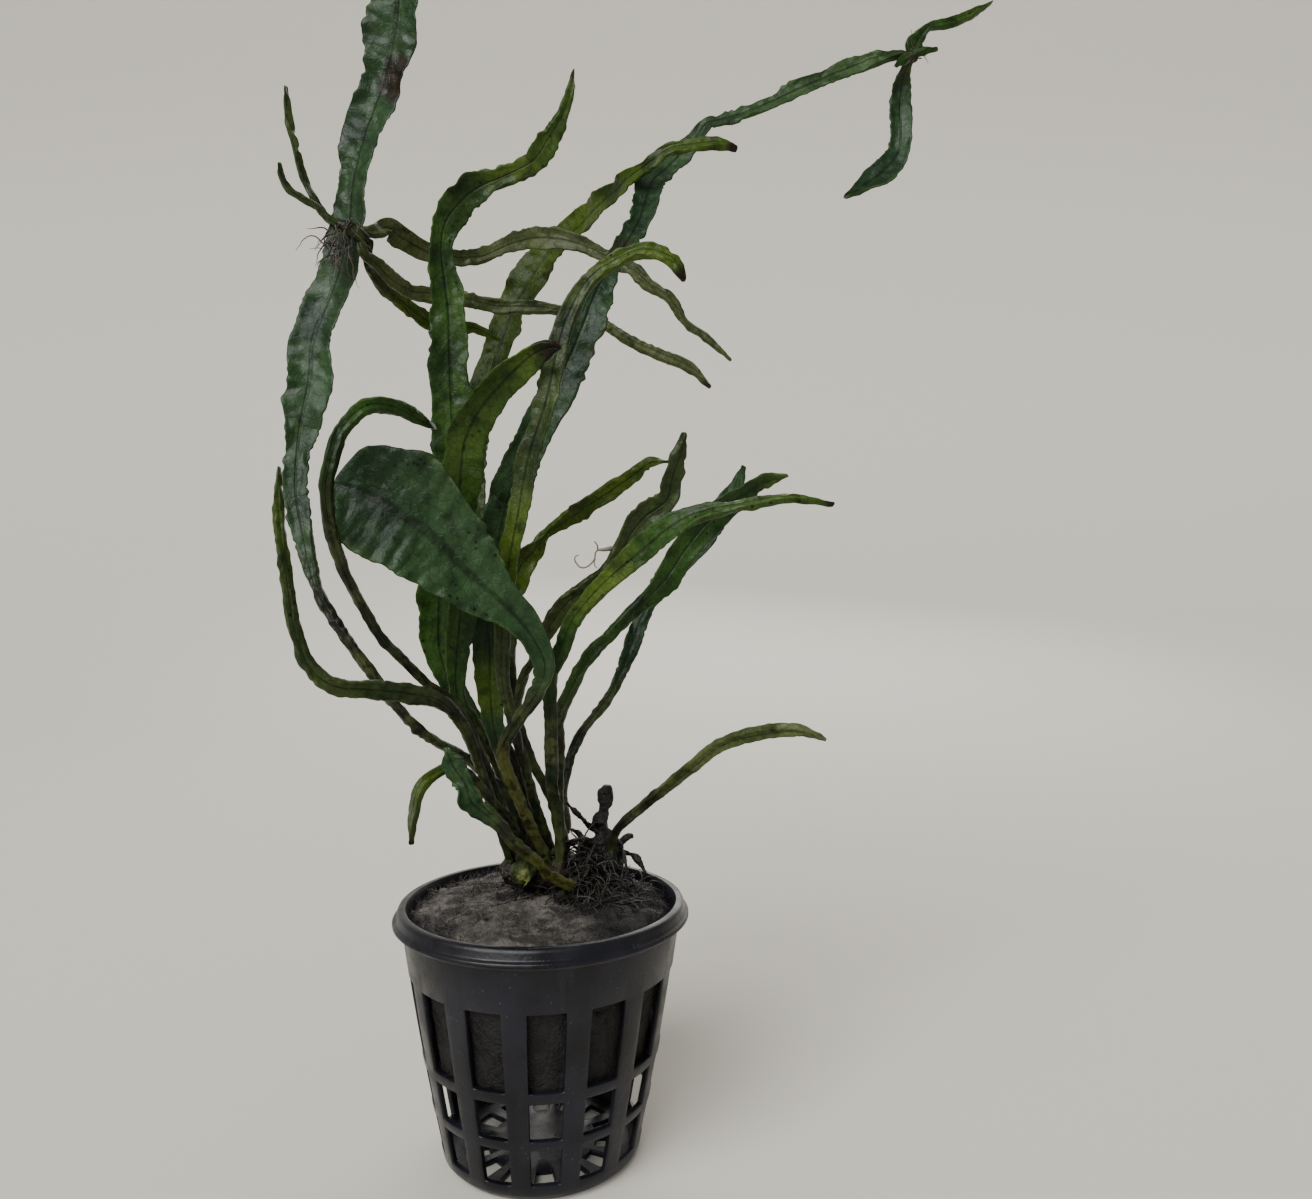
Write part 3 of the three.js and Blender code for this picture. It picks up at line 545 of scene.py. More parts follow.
# Colours that all leaves share
YOUNG_DEEP = rgb(0.042, 0.08, 0.006)
YOUNG_BRIGHT = rgb(0.095, 0.145, 0.015)
PALE_GREEN = rgb(0.1, 0.15, 0.03)
SHADED_GREEN = rgb(0.002, 0.009, 0.002)
VEIN_GREEN = rgb(0.002, 0.008, 0.002)
RIB_GREEN = rgb(0.004, 0.008, 0.002)
LIT_RIB = rgb(0.004, 0.012, 0.002)
SPOT_BLACK = rgb(0.003, 0.003, 0.001)
STALK_DARK = rgb(0.011, 0.019, 0.007)
STALK_OLIVE = rgb(0.05, 0.064, 0.02)
STALK_BROWN = rgb(0.015, 0.012, 0.008)
STALK_YELLOW = rgb(0.085, 0.09, 0.018)
STALK_BLACK = rgb(0.007, 0.007, 0.004)
RUST = rgb(0.025, 0.012, 0.005)
DARK_RUST = rgb(0.007, 0.004, 0.0025)


def leaf_finish(name, deep, bright, through_tint, glow):
    """A wet leaf: mottled green that turns lime, a dark rib, a net of veins, an olive stalk and rust."""
    n = Nodes(name)
    across = n.across()
    blade = n.attribute("blade")
    lime = n.attribute("lime")
    brown = n.attribute("brown")
    patches = n.noise(95, 3)
    mottle = n.noise(520, 4, 0.6)
    veins = n.veins(760)
    green = n.colour(n.span(patches, 0.36, 0.64), deep, bright)
    young = n.colour(n.span(patches, 0.3, 0.7), YOUNG_DEEP, YOUNG_BRIGHT)
    green = n.colour(n.times(lime, n.span(mottle, 0.25, 0.5, 0.65, 1)), green, young)
    pale = n.colour(0.35, bright, PALE_GREEN)
    green = n.colour(n.span(mottle, 0.5, 0.75, 0, 0.45), green, pale)
    # Paler ragged margins: painted edge light.
    rim = n.times(n.span(across, 0.8, 1.0), n.span(n.noise(170), 0.45, 0.62))
    green = n.colour(n.times(rim, 0.6), green, pale)
    shade = n.times(n.span(n.noise(210, 3), 0.5, 0.68), 0.6)
    green = n.colour(shade, green, SHADED_GREEN)
    green = n.colour(n.times(veins, 0.22), green, VEIN_GREEN)
    rib = n.times(n.span(across, 0.04, 0.13, 1, 0), n.span(mottle, 0.3, 0.6, 0.8, 0.35))
    green = n.colour(rib, green, RIB_GREEN)
    spots = n.span(n.cells(640), 0.12, 0.24, 1, 0)
    spots = n.times(spots, n.span(n.noise(75), 0.48, 0.6))
    green = n.colour(n.times(spots, 0.85), green, SPOT_BLACK)
    stalk = n.colour(n.span(n.noise(170, 4), 0.38, 0.6), STALK_DARK, STALK_OLIVE)
    stalk = n.colour(n.span(n.noise(110), 0.5, 0.6, 0, 0.8), stalk, STALK_BROWN)
    stalk = n.colour(n.times(lime, 0.85), stalk, STALK_YELLOW)
    stalk = n.colour(n.span(mottle, 0.5, 0.62, 0, 0.75), stalk, STALK_BLACK)
    green = n.colour(blade, stalk, green)
    rust = n.colour(n.span(mottle, 0.4, 0.6), RUST, DARK_RUST)
    green = n.colour(brown, green, rust)
    n.surface(green, n.span(n.noise(330), 0.3, 0.7, 0.3, 0.5), 0.19)
    n.shader.inputs["Coat Weight"].default_value = 0.06
    n.shader.inputs["Coat Roughness"].default_value = 0.12
    quilt = n.span(n.cells(420), 0.0, 0.65)
    grain = n.plus(quilt, n.times(n.noise(1700, 2), 0.3))
    groove = n.math("SUBTRACT", n.span(across, 0.0, 0.14), n.times(veins, 0.18))
    n.bump(n.plus(grain, groove), 0.00022, 0.65)
    lit = n.colour(n.times(blade, 0.55), green, through_tint)
    lit = n.colour(n.times(n.math("MAXIMUM", rib, veins), 0.35), lit, LIT_RIB)
    through = n.add("BsdfTranslucent", Color=lit)
    both = n.add("MixShader", Fac=glow)
    n.feed(both.inputs[1], n.shader.outputs[0])
    n.feed(both.inputs[2], through.outputs[0])
    n.feed(n.output.inputs["Surface"], both.outputs[0])
    return n.material


def plastic_finish():
    """Black moulded plastic, mottled grey by painted reflections, with dust and fine scratches."""
    n = Nodes("pot_plastic")
    painted_reflection_mottle = n.noise(60, 4, 0.6)
    streaks = n.noise(240, 3, 0.6, (1, 1, 0.15))
    # Painted reflections: a large grey mottle over the black.
    base = n.colour(n.span(painted_reflection_mottle, 0.38, 0.7), rgb(0.0022, 0.0024, 0.0042), rgb(0.0095, 0.0095, 0.016))
    base = n.colour(n.span(streaks, 0.52, 0.78, 0, 0.45), base, rgb(0.02, 0.0215, 0.028))
    specks = n.times(n.span(n.cells(900), 0.08, 0.16, 1, 0), n.span(n.noise(120), 0.5, 0.6))
    base = n.colour(n.times(specks, 0.4), base, rgb(0.1, 0.1, 0.09))
    n.surface(base, n.span(n.noise(180), 0.3, 0.7, 0.26, 0.46), 0.3)
    n.bump(n.plus(n.noise(1800, 2), n.times(streaks, 0.6)), 0.00006, 0.6)
    return n.material


def wool_finish():
    """Wet mineral wool, brown-grey and mottled with wet patches, darker towards its right side where the
    roots lie, and near black on its sides below the top from painted shade.
    """
    n = Nodes("wool")
    patches = n.noise(110, 4, 0.65)
    fibres = n.noise(900, 4, 0.7)
    base = n.colour(n.span(patches, 0.35, 0.65), rgb(0.036, 0.032, 0.029), rgb(0.13, 0.117, 0.103))
    base = n.colour(n.span(fibres, 0.45, 0.75, 0, 0.55), base, rgb(0.21, 0.193, 0.172))
    blotches = n.span(n.noise(190, 2), 0.5, 0.62, 0, 0.7)
    base = n.colour(blotches, base, rgb(0.02, 0.018, 0.017))
    ragged = n.span(n.noise(130, 3), 0.3, 0.7, -0.005, 0.005)
    # Darker towards the right side, with a ragged edge.
    wet_and_painted_shade = n.span(n.plus(n.axis("X"), ragged), 0.004, 0.011)
    # Painted shade: near black on the plug's sides below its top, inside the pot.
    wet_and_painted_shade = n.math("MAXIMUM", wet_and_painted_shade, n.span(n.axis("Z"), 0.038, 0.042, 1, 0))
    # Random wet patches.
    wet_and_painted_shade = n.math("MAXIMUM", wet_and_painted_shade, n.span(n.noise(170, 3), 0.54, 0.66, 0, 0.85))
    base = n.colour(n.times(wet_and_painted_shade, 0.93), base, rgb(0.008, 0.0076, 0.0078))
    n.surface(base, n.span(patches, 0.3, 0.7, 0.35, 0.9), 0.2)
    n.bump(n.plus(fibres, patches), 0.0008, 0.9)
    return n.material


def root_finish():
    """Dark brown rootstock: green at its growing end, pale on the bud's lip, black on the dead stumps."""
    n = Nodes("rootstock")
    bark = n.noise(350, 4, 0.65)
    base = n.colour(n.span(bark, 0.35, 0.65), rgb(0.006, 0.005, 0.004), rgb(0.03, 0.022, 0.012))
    sprout = n.colour(n.span(bark, 0.38, 0.62), rgb(0.006, 0.012, 0.002), rgb(0.03, 0.043, 0.006))
    base = n.colour(n.attribute("fresh"), base, sprout)
    lip = n.colour(n.span(n.noise(600, 2), 0.45, 0.6), rgb(0.08, 0.095, 0.02), rgb(0.2, 0.2, 0.07))
    base = n.colour(n.attribute("lip"), base, lip)
    charred = n.colour(n.span(bark, 0.4, 0.66), rgb(0.0025, 0.0025, 0.0025), rgb(0.016, 0.0145, 0.013))
    base = n.colour(n.attribute("dead"), base, charred)
    n.surface(base, n.span(bark, 0.3, 0.7, 0.3, 0.65), 0.25)
    n.bump(n.plus(bark, n.noise(1400, 2)), 0.0005, 0.9)
    return n.material


def thread_finish(name, dark, light):
    """Fine roots of a mottled colour."""
    n = Nodes(name)
    shade = n.noise(300, 3)
    base = n.colour(n.span(shade, 0.35, 0.65), dark, light)
    n.surface(base, n.span(shade, 0.3, 0.7, 0.35, 0.65))
    n.bump(n.noise(2400, 2), 0.0001, 0.6)
    return n.material


# For each kind of leaf: its deep and bright green, the tint of light through it, and how much comes through
LEAF_COLOURS = {
    "dark": (rgb(0.0095, 0.03, 0.01), rgb(0.03, 0.071, 0.025), rgb(0.032, 0.09, 0.02), 0.22),
    "mid": (rgb(0.012, 0.038, 0.006), rgb(0.037, 0.092, 0.014), rgb(0.075, 0.18, 0.012), 0.3),
    "lime": (rgb(0.026, 0.053, 0.008), rgb(0.072, 0.112, 0.022), rgb(0.14, 0.2, 0.026), 0.34),
    "olive": (rgb(0.019, 0.033, 0.009), rgb(0.052, 0.078, 0.021), rgb(0.08, 0.12, 0.022), 0.26),
    "pale": (rgb(0.045, 0.062, 0.018), rgb(0.105, 0.13, 0.045), rgb(0.16, 0.2, 0.05), 0.34),
}
FINISHES = {look: leaf_finish("leaf_" + look, *colours) for look, colours in LEAF_COLOURS.items()}
THREADS = thread_finish("roots", rgb(0.0035, 0.003, 0.0025), rgb(0.017, 0.013, 0.009))
YOUNG_ROOTS = thread_finish("young_roots", rgb(0.016, 0.012, 0.008), rgb(0.07, 0.052, 0.033))
PALE_ROOT = thread_finish("pale_root", rgb(0.075, 0.07, 0.045), rgb(0.16, 0.15, 0.105))


# Leaves

def measure_route(rows):
    """The share of the whole way at each row, and the way's length."""
    ways = [0]
    for before, after in zip(rows, rows[1:]):
        ways.append(ways[-1] + (Vector(after[:3]) - Vector(before[:3])).length)
    return [way / ways[-1] for way in ways], ways[-1]


def width_at(rows, shares, share):
    for i in range(len(rows) - 1):
        if share <= shares[i + 1]:
            part = (share - shares[i]) / (shares[i + 1] - shares[i])
            return blend_between(rows[i][3], rows[i + 1][3], part)
    return rows[-1][3]


def lay_path(rows, shares, base_turn, tip_turn, sway, sheet):
    """The leaf's route as a curve, laid down so that the face of the leaf looks up."""
    bpy.ops.curve.primitive_bezier_curve_add(location=(0, 0, 0))
    path = bpy.context.object
    path.data.dimensions = "3D"
    path.data.twist_mode = "Z_UP"
    path.data.resolution_u = 10
    path.data.use_radius = True
    path.data.use_stretch = True
    path.data.use_deform_bounds = True
    spline = path.data.splines[0]
    spline.radius_interpolation = "LINEAR"
    spline.tilt_interpolation = "LINEAR"
    spline.bezier_points.add(len(rows) - 2)
    spots = [Vector((x, z, -y)) * MM for x, y, z, _ in rows]
    last = len(rows) - 1
    for i, point in enumerate(spline.bezier_points):
        before = max(i - 1, 0)
        after = min(i + 1, last)
        reach = (spots[after] - spots[before]) / (3 * (after - before))
        turn = blend_between(base_turn, tip_turn, shares[i])
        turn = math.radians(turn + sway * math.sin(2 * math.pi * SWAY_WAVES * shares[i] + sheet))
        point.handle_left_type = "FREE"
        point.handle_right_type = "FREE"
        point.co = spots[i]
        point.handle_left = spots[i] - reach
        point.handle_right = spots[i] + reach
        point.tilt = turn
        point.radius = rows[i][3] / math.cos(turn) / BLADE_WIDTH * (TIP_SHARE if i == last else 1)
    return path


def cut_blade(length, sheet):
    """A flat ribbon of the leaf's length, on its own sheet of the ruffle pattern."""
    steps = max(8, round(length / BLADE_STEP))
    bpy.ops.mesh.primitive_grid_add(x_subdivisions=steps, y_subdivisions=BLADE_COLUMNS, size=1)
    blade = bpy.context.object
    blade.scale = (length * MM, BLADE_WIDTH * MM, 1)
    blade.location = (length * MM / 2, 0, sheet * (SHEET_GAP * MM))
    settle(blade)
    return blade


TEETH = cloud("teeth", 0.8)
LOBES = cloud("lobes", 2.6, 2)
WAVES = cloud("waves", 9, 0)
RUFFLE = cloud("ruffle", 5)
QUILT = cloud("quilt", 2.2)
BARK = cloud("bark", 1.3, 2)
LEAF_MARKS = ("blade", "lime", "brown")


def scarred(co, along, width, side, reach, strength):
    """How brown a place of the blade is from a dead patch with a ragged edge."""
    if not reach:
        return 0
    across = (2 * co.y / (BLADE_WIDTH * MM) - side) * width / 2
    ragged = 1 + 0.6 * noise.noise(co * 450)
    return strength * ease(math.hypot(along, across) * ragged, reach, 0.55 * reach)


def mark_blade(blade, rows, shares, length, looks):
    """Marks where the stalk becomes blade, where the blade turns lime and where it is brown."""
    limit = min(BLADE_START, 0.8 * max(row[3] for row in rows))
    start = next(share for row, share in zip(rows, shares) if row[3] > limit)
    lime_from, lime_to = looks["lime"]
    patch_at, patch_reach = looks["patch"]
    scar_at, *scar = looks["scar"]
    tip = looks["brown"]
    thick = blade.vertex_groups.new(name="thick")
    blades, limes, browns = add_marks(blade, LEAF_MARKS)
    for vert in blade.data.vertices:
        share = min(max(vert.co.x / (length * MM), 0), 1)
        width = width_at(rows, shares, share)
        thick.add([vert.index], 1 - ease(width, STALK_LIMIT, BLADE_LIMIT), "REPLACE")
        lime = ease(share, lime_from, lime_to) if lime_to > lime_from else 0
        if patch_reach:
            lime = max(lime, ease(abs(share - patch_at), patch_reach, 0.3 * patch_reach))
        dead = ease(share, 1 - tip, 1 - tip / 3) if tip else 0
        blades[vert.index].value = ease(share, start - 0.12, start + 0.04)
        limes[vert.index].value = lime
        browns[vert.index].value = max(dead, scarred(vert.co, (share - scar_at) * length, width, *scar))


def roughened(co, grain):
    """From 0.2 where a margin is smooth to 1 where it is frayed."""
    return blend_between(0.2, 1, ease(noise.noise(co * grain), -0.3, 0.3))


def grow_ribbon(rows, base_turn, tip_turn, sheet, looks):
    """One leaf: a ribbon with a ragged ruffled margin, bent along its route and given its thickness."""
    shares, length = measure_route(rows)
    blade = cut_blade(length, sheet)
    half = BLADE_WIDTH * MM / 2

    def evened(co):
        """Keeps the teeth of a wide blade as small as those of a narrow one."""
        share = min(max(co.x / (length * MM), 0), 1)
        return min(TOOTH_WIDTH / width_at(rows, shares, share), 1)

    margin = weigh(blade, "margin", lambda co: min(abs(co.y) / half, 1) ** 2)
    edge = weigh(blade, "edge", lambda co: ease(abs(co.y) / half, 0.75, 1) * roughened(co, 110) * evened(co))
    frill = weigh(blade, "frill", lambda co: min(abs(co.y) / half, 1) ** 2 * roughened(co, 55) * evened(co))
    lamina = weigh(blade, "lamina", lambda co: ease(abs(co.y) / half, 0.05, 0.4))
    for column in range(BLADE_COLUMNS + 1):
        level = half * (2 * column / BLADE_COLUMNS - 1)
        open_mesh(blade)
        pick(blade, "VERT", lambda co: abs(co.y - level) < half / BLADE_COLUMNS)
        bpy.ops.transform.translate(value=(0, 0, CUP_DEPTH * MM * (level / half) ** 2))
        close_mesh()
    ruffle = looks["ruffle"]
    push(blade, TEETH, TOOTH_DEPTH * ruffle, edge, "Y")
    push(blade, LOBES, LOBE_DEPTH * ruffle, frill, "Y")
    push(blade, WAVES, WAVE_DEPTH * ruffle, margin, "Y")
    push(blade, RUFFLE, RUFFLE_DEPTH * ruffle, frill, "Z")
    push(blade, QUILT, QUILT_DEPTH * ruffle, lamina, "Z")
    finish_modifiers(blade)
    blade.location.z = -sheet * (SHEET_GAP * MM)
    settle(blade)
    mark_blade(blade, rows, shares, length, looks)
    path = lay_path(rows, shares, base_turn, tip_turn, looks["sway"], sheet)
    modify(blade, "CURVE", object=path, deform_axis="POS_X")
    finish_modifiers(blade)
    bpy.data.objects.remove(path)
    blade.rotation_euler.x = math.radians(90)
    settle(blade)
    modify(
        blade, "SOLIDIFY", thickness=LEAF_WALL * MM, offset=0,
        vertex_group="thick", thickness_vertex_group=BLADE_SHARE,
    )
    push(blade, BARK, BARK_DEPTH, "thick")
    modify(blade, "SUBSURF", levels=1, render_levels=1)
    finish_modifiers(blade)
    smooth(blade)
    return blade


def from_foot(rows):
    """Starts a leaf of the rhizome a little lower, inside its stub."""
    x, y, z, width = rows[0]
    if z != LEAF_BASE:
        return rows
    return [[x, y, LEAF_FOOT, width]] + rows


# Where a leaf grows on a plantlet's crown, or carries it, one more row joins the two
JOINED_FROM = {
    "plantlet_leaf_upper": [-34.6, 5, 164.8, 1.4],
    "plantlet_leaf_lower": [-34.3, 5.2, 164, 1.4],
    "plantlet_leaf_hanging": [70.6, 18.4, 204.5, 1.2],
}
JOINED_TO = {"leaf_06": [70.3, 18, 204.8, 1.3]}


def with_joints(name, rows):
    """A leaf's route with the rows that join it to what it grows from and what it carries."""
    rows = from_foot(rows)
    if name in JOINED_FROM:
        rows = [JOINED_FROM[name]] + rows
    if name in JOINED_TO:
        rows = rows + [JOINED_TO[name]]
    return rows


# Looks of a leaf. lime: where along it the lime begins and where it is full. patch: the middle and the reach
# of a lime stretch. brown: the share of it that is brown at its tip. scar: a dead patch, by its place along
# the leaf, its side from -1 to 1, its reach and its strength. ruffle: how ragged its margin is. sway: how far
# it turns about its route, in degrees.
PLAIN = {"lime": (1, 1), "patch": (0, 0), "brown": 0, "scar": (0, 0, 0, 0), "ruffle": 1, "sway": 8}
LEAF_LOOKS = {
    "leaf_01": {"scar": (0.845, -0.65, 5.4, 0.9), "ruffle": 1.1, "sway": 9},
    "leaf_02": {"lime": (0.7, 1.1)},
    "leaf_03": {"lime": (0.74, 1.1), "patch": (0.86, 0.05), "brown": 0.02},
    "leaf_04": {"patch": (0.17, 0.17), "ruffle": 0.9, "sway": 4},
    "leaf_05": {"ruffle": 0.5},
    "leaf_06": {"lime": (0.6, 1.7), "patch": (0.17, 0.04), "scar": (0.59, 0.1, 6, 0.6)},
    "leaf_07": {"lime": (0.4, 1.25), "brown": 0.05},
    "leaf_08": {"lime": (0.45, 0.8), "brown": 0.015},
    "leaf_09": {"lime": (0.82, 0.88), "patch": (0.45, 0.12), "brown": 0.025, "ruffle": 0.7},
    "leaf_10": {"lime": (0.35, 0.6), "brown": 0.02},
    "leaf_12": {"lime": (0.7, 1.1), "patch": (0.57, 0.11), "brown": 0.02, "ruffle": 0.6},
    "leaf_13": {"lime": (0.85, 1.1), "ruffle": 0.7},
    "leaf_15": {"ruffle": 0.6},
    "leaf_16": {"patch": (0.75, 0.1), "brown": 0.03, "ruffle": 0.6},
    "leaf_17": {"patch": (0.1, 0.4), "ruffle": 1.5},
    "plantlet_leaf_lower": {"brown": 0.03},
    "plantlet_leaf_hanging": {"ruffle": 0.8},
}
# Leaves paler than the rest of their slot: leaf_15 and the lower plantlet leaf are faded, and the upper
# plantlet leaf, which faces away from the light, is made paler partly as painted light
PALE_LEAVES = {"leaf_15", "plantlet_leaf_upper", "plantlet_leaf_lower"}
for number, (name, (look, base_turn, tip_turn, rows)) in enumerate(LEAVES.items()):
    looks = PLAIN | LEAF_LOOKS.get(name, {})
    leaf = grow_ribbon(with_joints(name, rows), base_turn, tip_turn, number + 1, looks)
    finish = FINISHES["pale" if name in PALE_LEAVES else look]
    hand_over(leaf, name + "_blade", "leaf_" + look, finish, name)


# Rhizome, plantlets and roots

def draw_rod(rows, name, roundness=3):
    """A round stem along rows of x, y, z and radius."""
    bpy.ops.curve.primitive_bezier_curve_add(location=(0, 0, 0))
    rod = bpy.context.object
    rod.name = name
    rod.data.dimensions = "3D"
    rod.data.bevel_depth = MM
    rod.data.bevel_resolution = roundness
    rod.data.use_fill_caps = True
    rod.data.resolution_u = 8
    spline = rod.data.splines[0]
    spline.bezier_points.add(len(rows) - 2)
    for point, (x, y, z, radius) in zip(spline.bezier_points, rows):
        point.co = Vector((x, y, z)) * MM
        point.handle_left_type = "AUTO"
        point.handle_right_type = "AUTO"
        point.radius = radius
    take(rod)
    bpy.ops.object.convert(target="MESH")
    return bpy.context.object


def knobbly(piece, size, strength, grain):
    """Joins the rods of a piece into one skin with faces of the grain's size, and makes it lumpy."""
    modify(piece, "REMESH", mode="VOXEL", voxel_size=grain * MM)
    push(piece, cloud("lumps", size, 2), strength)
    finish_modifiers(piece)
    smooth(piece)


def grow_rhizome():
    """The rootstock with its stumps and twigs, and a stub under each leaf that grows from it."""
    rods = [draw_rod(rows, "stem") for rows in RHIZOME_STEMS + OLD_STUMPS + DEAD_TWIGS]
    for _, _, _, rows in LEAVES.values():
        x, y, z, _ = rows[0]
        if z == LEAF_BASE:
            stub = [[x, y, STEM_HEIGHT, 1.3], [x, y, LEAF_FOOT, 1.1], [x, y, STUB_TOP, 1.0]]
            rods.append(draw_rod(stub, "stub"))
    rhizome = fuse(rods)
    knobbly(rhizome, 2.2, 1.3, 0.4)
    fresh, dead, lip = add_marks(rhizome, ("fresh", "dead", "lip"))
    tip = Vector(GROWING_END) * MM
    bud = Vector(BUD_LIP) * MM
    for vert in rhizome.data.vertices:
        x, y, z = vert.co / MM
        growing = ease((vert.co - tip).length, 4.2 * MM, 2.6 * MM)
        sprout = 0.7 * ease(z, LEAF_FOOT, 51) * ease(-x, -6, 0)
        fresh[vert.index].value = max(growing, sprout)
        dead[vert.index].value = max(ease(x, 4, 8), ease(z, 52, 54))
        lip[vert.index].value = ease((vert.co - bud).length, 1.9 * MM, 1.1 * MM)
    return rhizome


hand_over(grow_rhizome(), "rhizome_stock", "rootstock", root_finish(), "rhizome")


def grow_plantlet(name, look, crown, leaves, sheet, first_looks):
    """A young plant: its knobbly crown with its small leaves, the first of which has looks of its own."""
    core = draw_rod(crown, "crown")
    knobbly(core, 1.5, 0.5, 0.3)
    add_marks(core, LEAF_MARKS)
    parts = [core]
    for number, rows in enumerate(leaves):
        looks = first_looks if number == 0 else {}
        parts.append(grow_ribbon(rows, 0, 0, sheet + number, PLAIN | looks))
    plantlet = fuse(parts)
    hand_over(plantlet, name + "_young", "leaf_" + look, FINISHES[look], name)


grow_plantlet("plantlet_low", "olive", LOW_PLANTLET_CROWN, LOW_PLANTLET_LEAVES, 31, {"lime": (0, 0.5)})
grow_plantlet("plantlet_tip", "mid", TIP_PLANTLET_CROWN, TIP_PLANTLET_LEAVES, 36, {"lime": (0.3, 1.4)})


# Roots and fibres

def spin_threads(name, routes, thickness):
    """Many fine threads as one mesh, each along its own row of points in metres, and thinner at its end."""
    drawing = bpy.data.curves.new(name, "CURVE")
    drawing.dimensions = "3D"
    drawing.bevel_depth = thickness * MM / 2
    drawing.bevel_resolution = 0
    for route in routes:
        spline = drawing.splines.new("POLY")
        spline.points.add(len(route) - 1)
        for i, (point, place) in enumerate(zip(spline.points, route)):
            point.co = (*place, 1)
            point.radius = 1.2 - 0.9 * i / (len(route) - 1)
    drawing.use_fill_caps = True
    threads = bpy.data.objects.new(name, drawing)
    bpy.context.scene.collection.objects.link(threads)
    take(threads)
    bpy.ops.object.convert(target="MESH")
    threads = bpy.context.object
    smooth(threads)
    return threads


def wander(dice, start, heading, steps, step, stray, pull=(0, 0, 0)):
    """A crooked thread from a place in millimetres; pull bends it steadily, as a fall would."""
    place = Vector(start)
    way = Vector(heading).normalized()
    route = [place * MM]
    for _ in range(steps):
        way = way + Vector([dice.uniform(-stray, stray) for _ in range(3)]) + Vector(pull)
        way.normalize()
        place = place + way * step
        route.append(place * MM)
    return route


def wool_height(x, y):
    return WOOL_EDGE + WOOL_DOME * (1 - (math.hypot(x, y) / MOUTH_RADIUS) ** 2)


def crawl(dice, start, heading, steps, step):
    """A root that creeps over the wool."""
    x, y = start
    angle = heading
    route = []
    for _ in range(steps):
        angle += dice.uniform(-0.55, 0.55)
        x += math.cos(angle) * step
        y += math.sin(angle) * step
        if math.hypot(x, y) > MOUTH_RADIUS - 1.6:
            break
        route.append(Vector((x, y, wool_height(x, y) + ROOT_LIFT + dice.uniform(-0.25, 0.5))) * MM)
    return route


def grow_roots():
    """Roots that creep over the wool, and a mound of tangled ones about the dead stumps."""
    dice = random.Random(5)
    routes = []
    for _ in range(CREEPING_ROOTS):
        x = dice.uniform(-7, 13)
        y = blend_between(3, 9, dice.random()) + dice.uniform(-3, 3)
        routes.append(crawl(dice, (x, y), dice.uniform(0, 2 * math.pi), dice.randint(5, 14), 1.2))
    for _ in range(TANGLED_ROOTS):
        x, y = dice.gauss(8, 4.6), dice.gauss(3, 4.2)
        if math.hypot(x, y) > MOUTH_RADIUS - 2:
            continue
        mound = ease(math.hypot(x - 6, y - 5), 9, 2)
        start = (x, y, wool_height(x, y) + 0.4 + mound * (1.5 + dice.uniform(0, 1) ** 2 * 7))
        way = (dice.uniform(-1, 1), dice.uniform(-1, 1), dice.uniform(-0.2, 0.9))
        routes.append(wander(dice, start, way, dice.randint(4, 9), 0.8, 0.5, (0, 0, -0.24)))
    return spin_threads("roots", [route for route in routes if len(route) > 2], ROOT_THICK)


hand_over(grow_roots(), "rhizome_roots", "rootstock", THREADS)


def grow_tufts():
    """Fine roots of the plantlets."""
    dice = random.Random(8)
    routes = []
    for _ in range(LOW_TUFT):
        start = (dice.uniform(-40, -35), dice.uniform(2, 5), dice.uniform(160, 167))
        way = (dice.uniform(-0.8, 0.5), dice.uniform(-0.7, 0.1), dice.uniform(-1, 0.2))
        routes.append(wander(dice, start, way, dice.randint(5, 12), 0.7, 0.5, (0.03, 0, -0.2)))
    for _ in range(TIP_TUFT):
        start = (dice.uniform(71, 73), dice.uniform(17, 19), dice.uniform(204, 207))
        way = (dice.uniform(-1, 1), dice.uniform(-0.6, 0.3), dice.uniform(-1, 0.5))
        routes.append(wander(dice, start, way, dice.randint(3, 6), 0.6, 0.4))
    return spin_threads("tufts", routes, TUFT_THICK)


hand_over(grow_tufts(), "plantlet_roots", "rootstock", YOUNG_ROOTS)

# Curled root on the zigzag leaf, with a side hook and a short branch
CURLED_ROOT = [
    [
        [13.6, -7, 106, 0.5], [12.4, -7.3, 105.9, 0.42], [11.3, -7.5, 105.7, 0.32],
        [10.1, -7.6, 105.5, 0.16], [9.6, -7.8, 103.9, 0.15], [7.7, -8, 102.6, 0.14],
        [6.7, -8, 103.3, 0.13], [6.4, -7.8, 104.4, 0.12], [7, -7.6, 104.8, 0.1],
    ],
    [[10.2, -7.6, 105.5, 0.15], [10.2, -7.8, 106.4, 0.13], [9.7, -8, 107.1, 0.1]],
    [[9.8, -7.7, 104.2, 0.14], [9.7, -7.9, 103.2, 0.12], [10.2, -8, 102.5, 0.08]],
]
curled = fuse([draw_rod(rows, "curl", 2) for rows in CURLED_ROOT])
smooth(curled)
hand_over(curled, "curled_root", "rootstock", PALE_ROOT)


# Net pot

def wall_radius(height):
    share = (height - BASE_EDGE) / (WALL_TOP - BASE_EDGE)
    return blend_between(WALL_FOOT_RADIUS, WALL_TOP_RADIUS, share) + WALL_BULGE * math.sin(math.pi * share)


def raise_rings(rings):
    """Extrudes the selected ring of edges through rings of radius and height."""
    for (radius, height), (next_radius, next_height) in zip(rings, rings[1:]):
        rise = (0, 0, (next_height - height) * MM)
        bpy.ops.mesh.extrude_region_move(TRANSFORM_OT_translate={"value": rise})
        stretch = next_radius / radius
        bpy.ops.transform.resize(value=(stretch, stretch, 1))


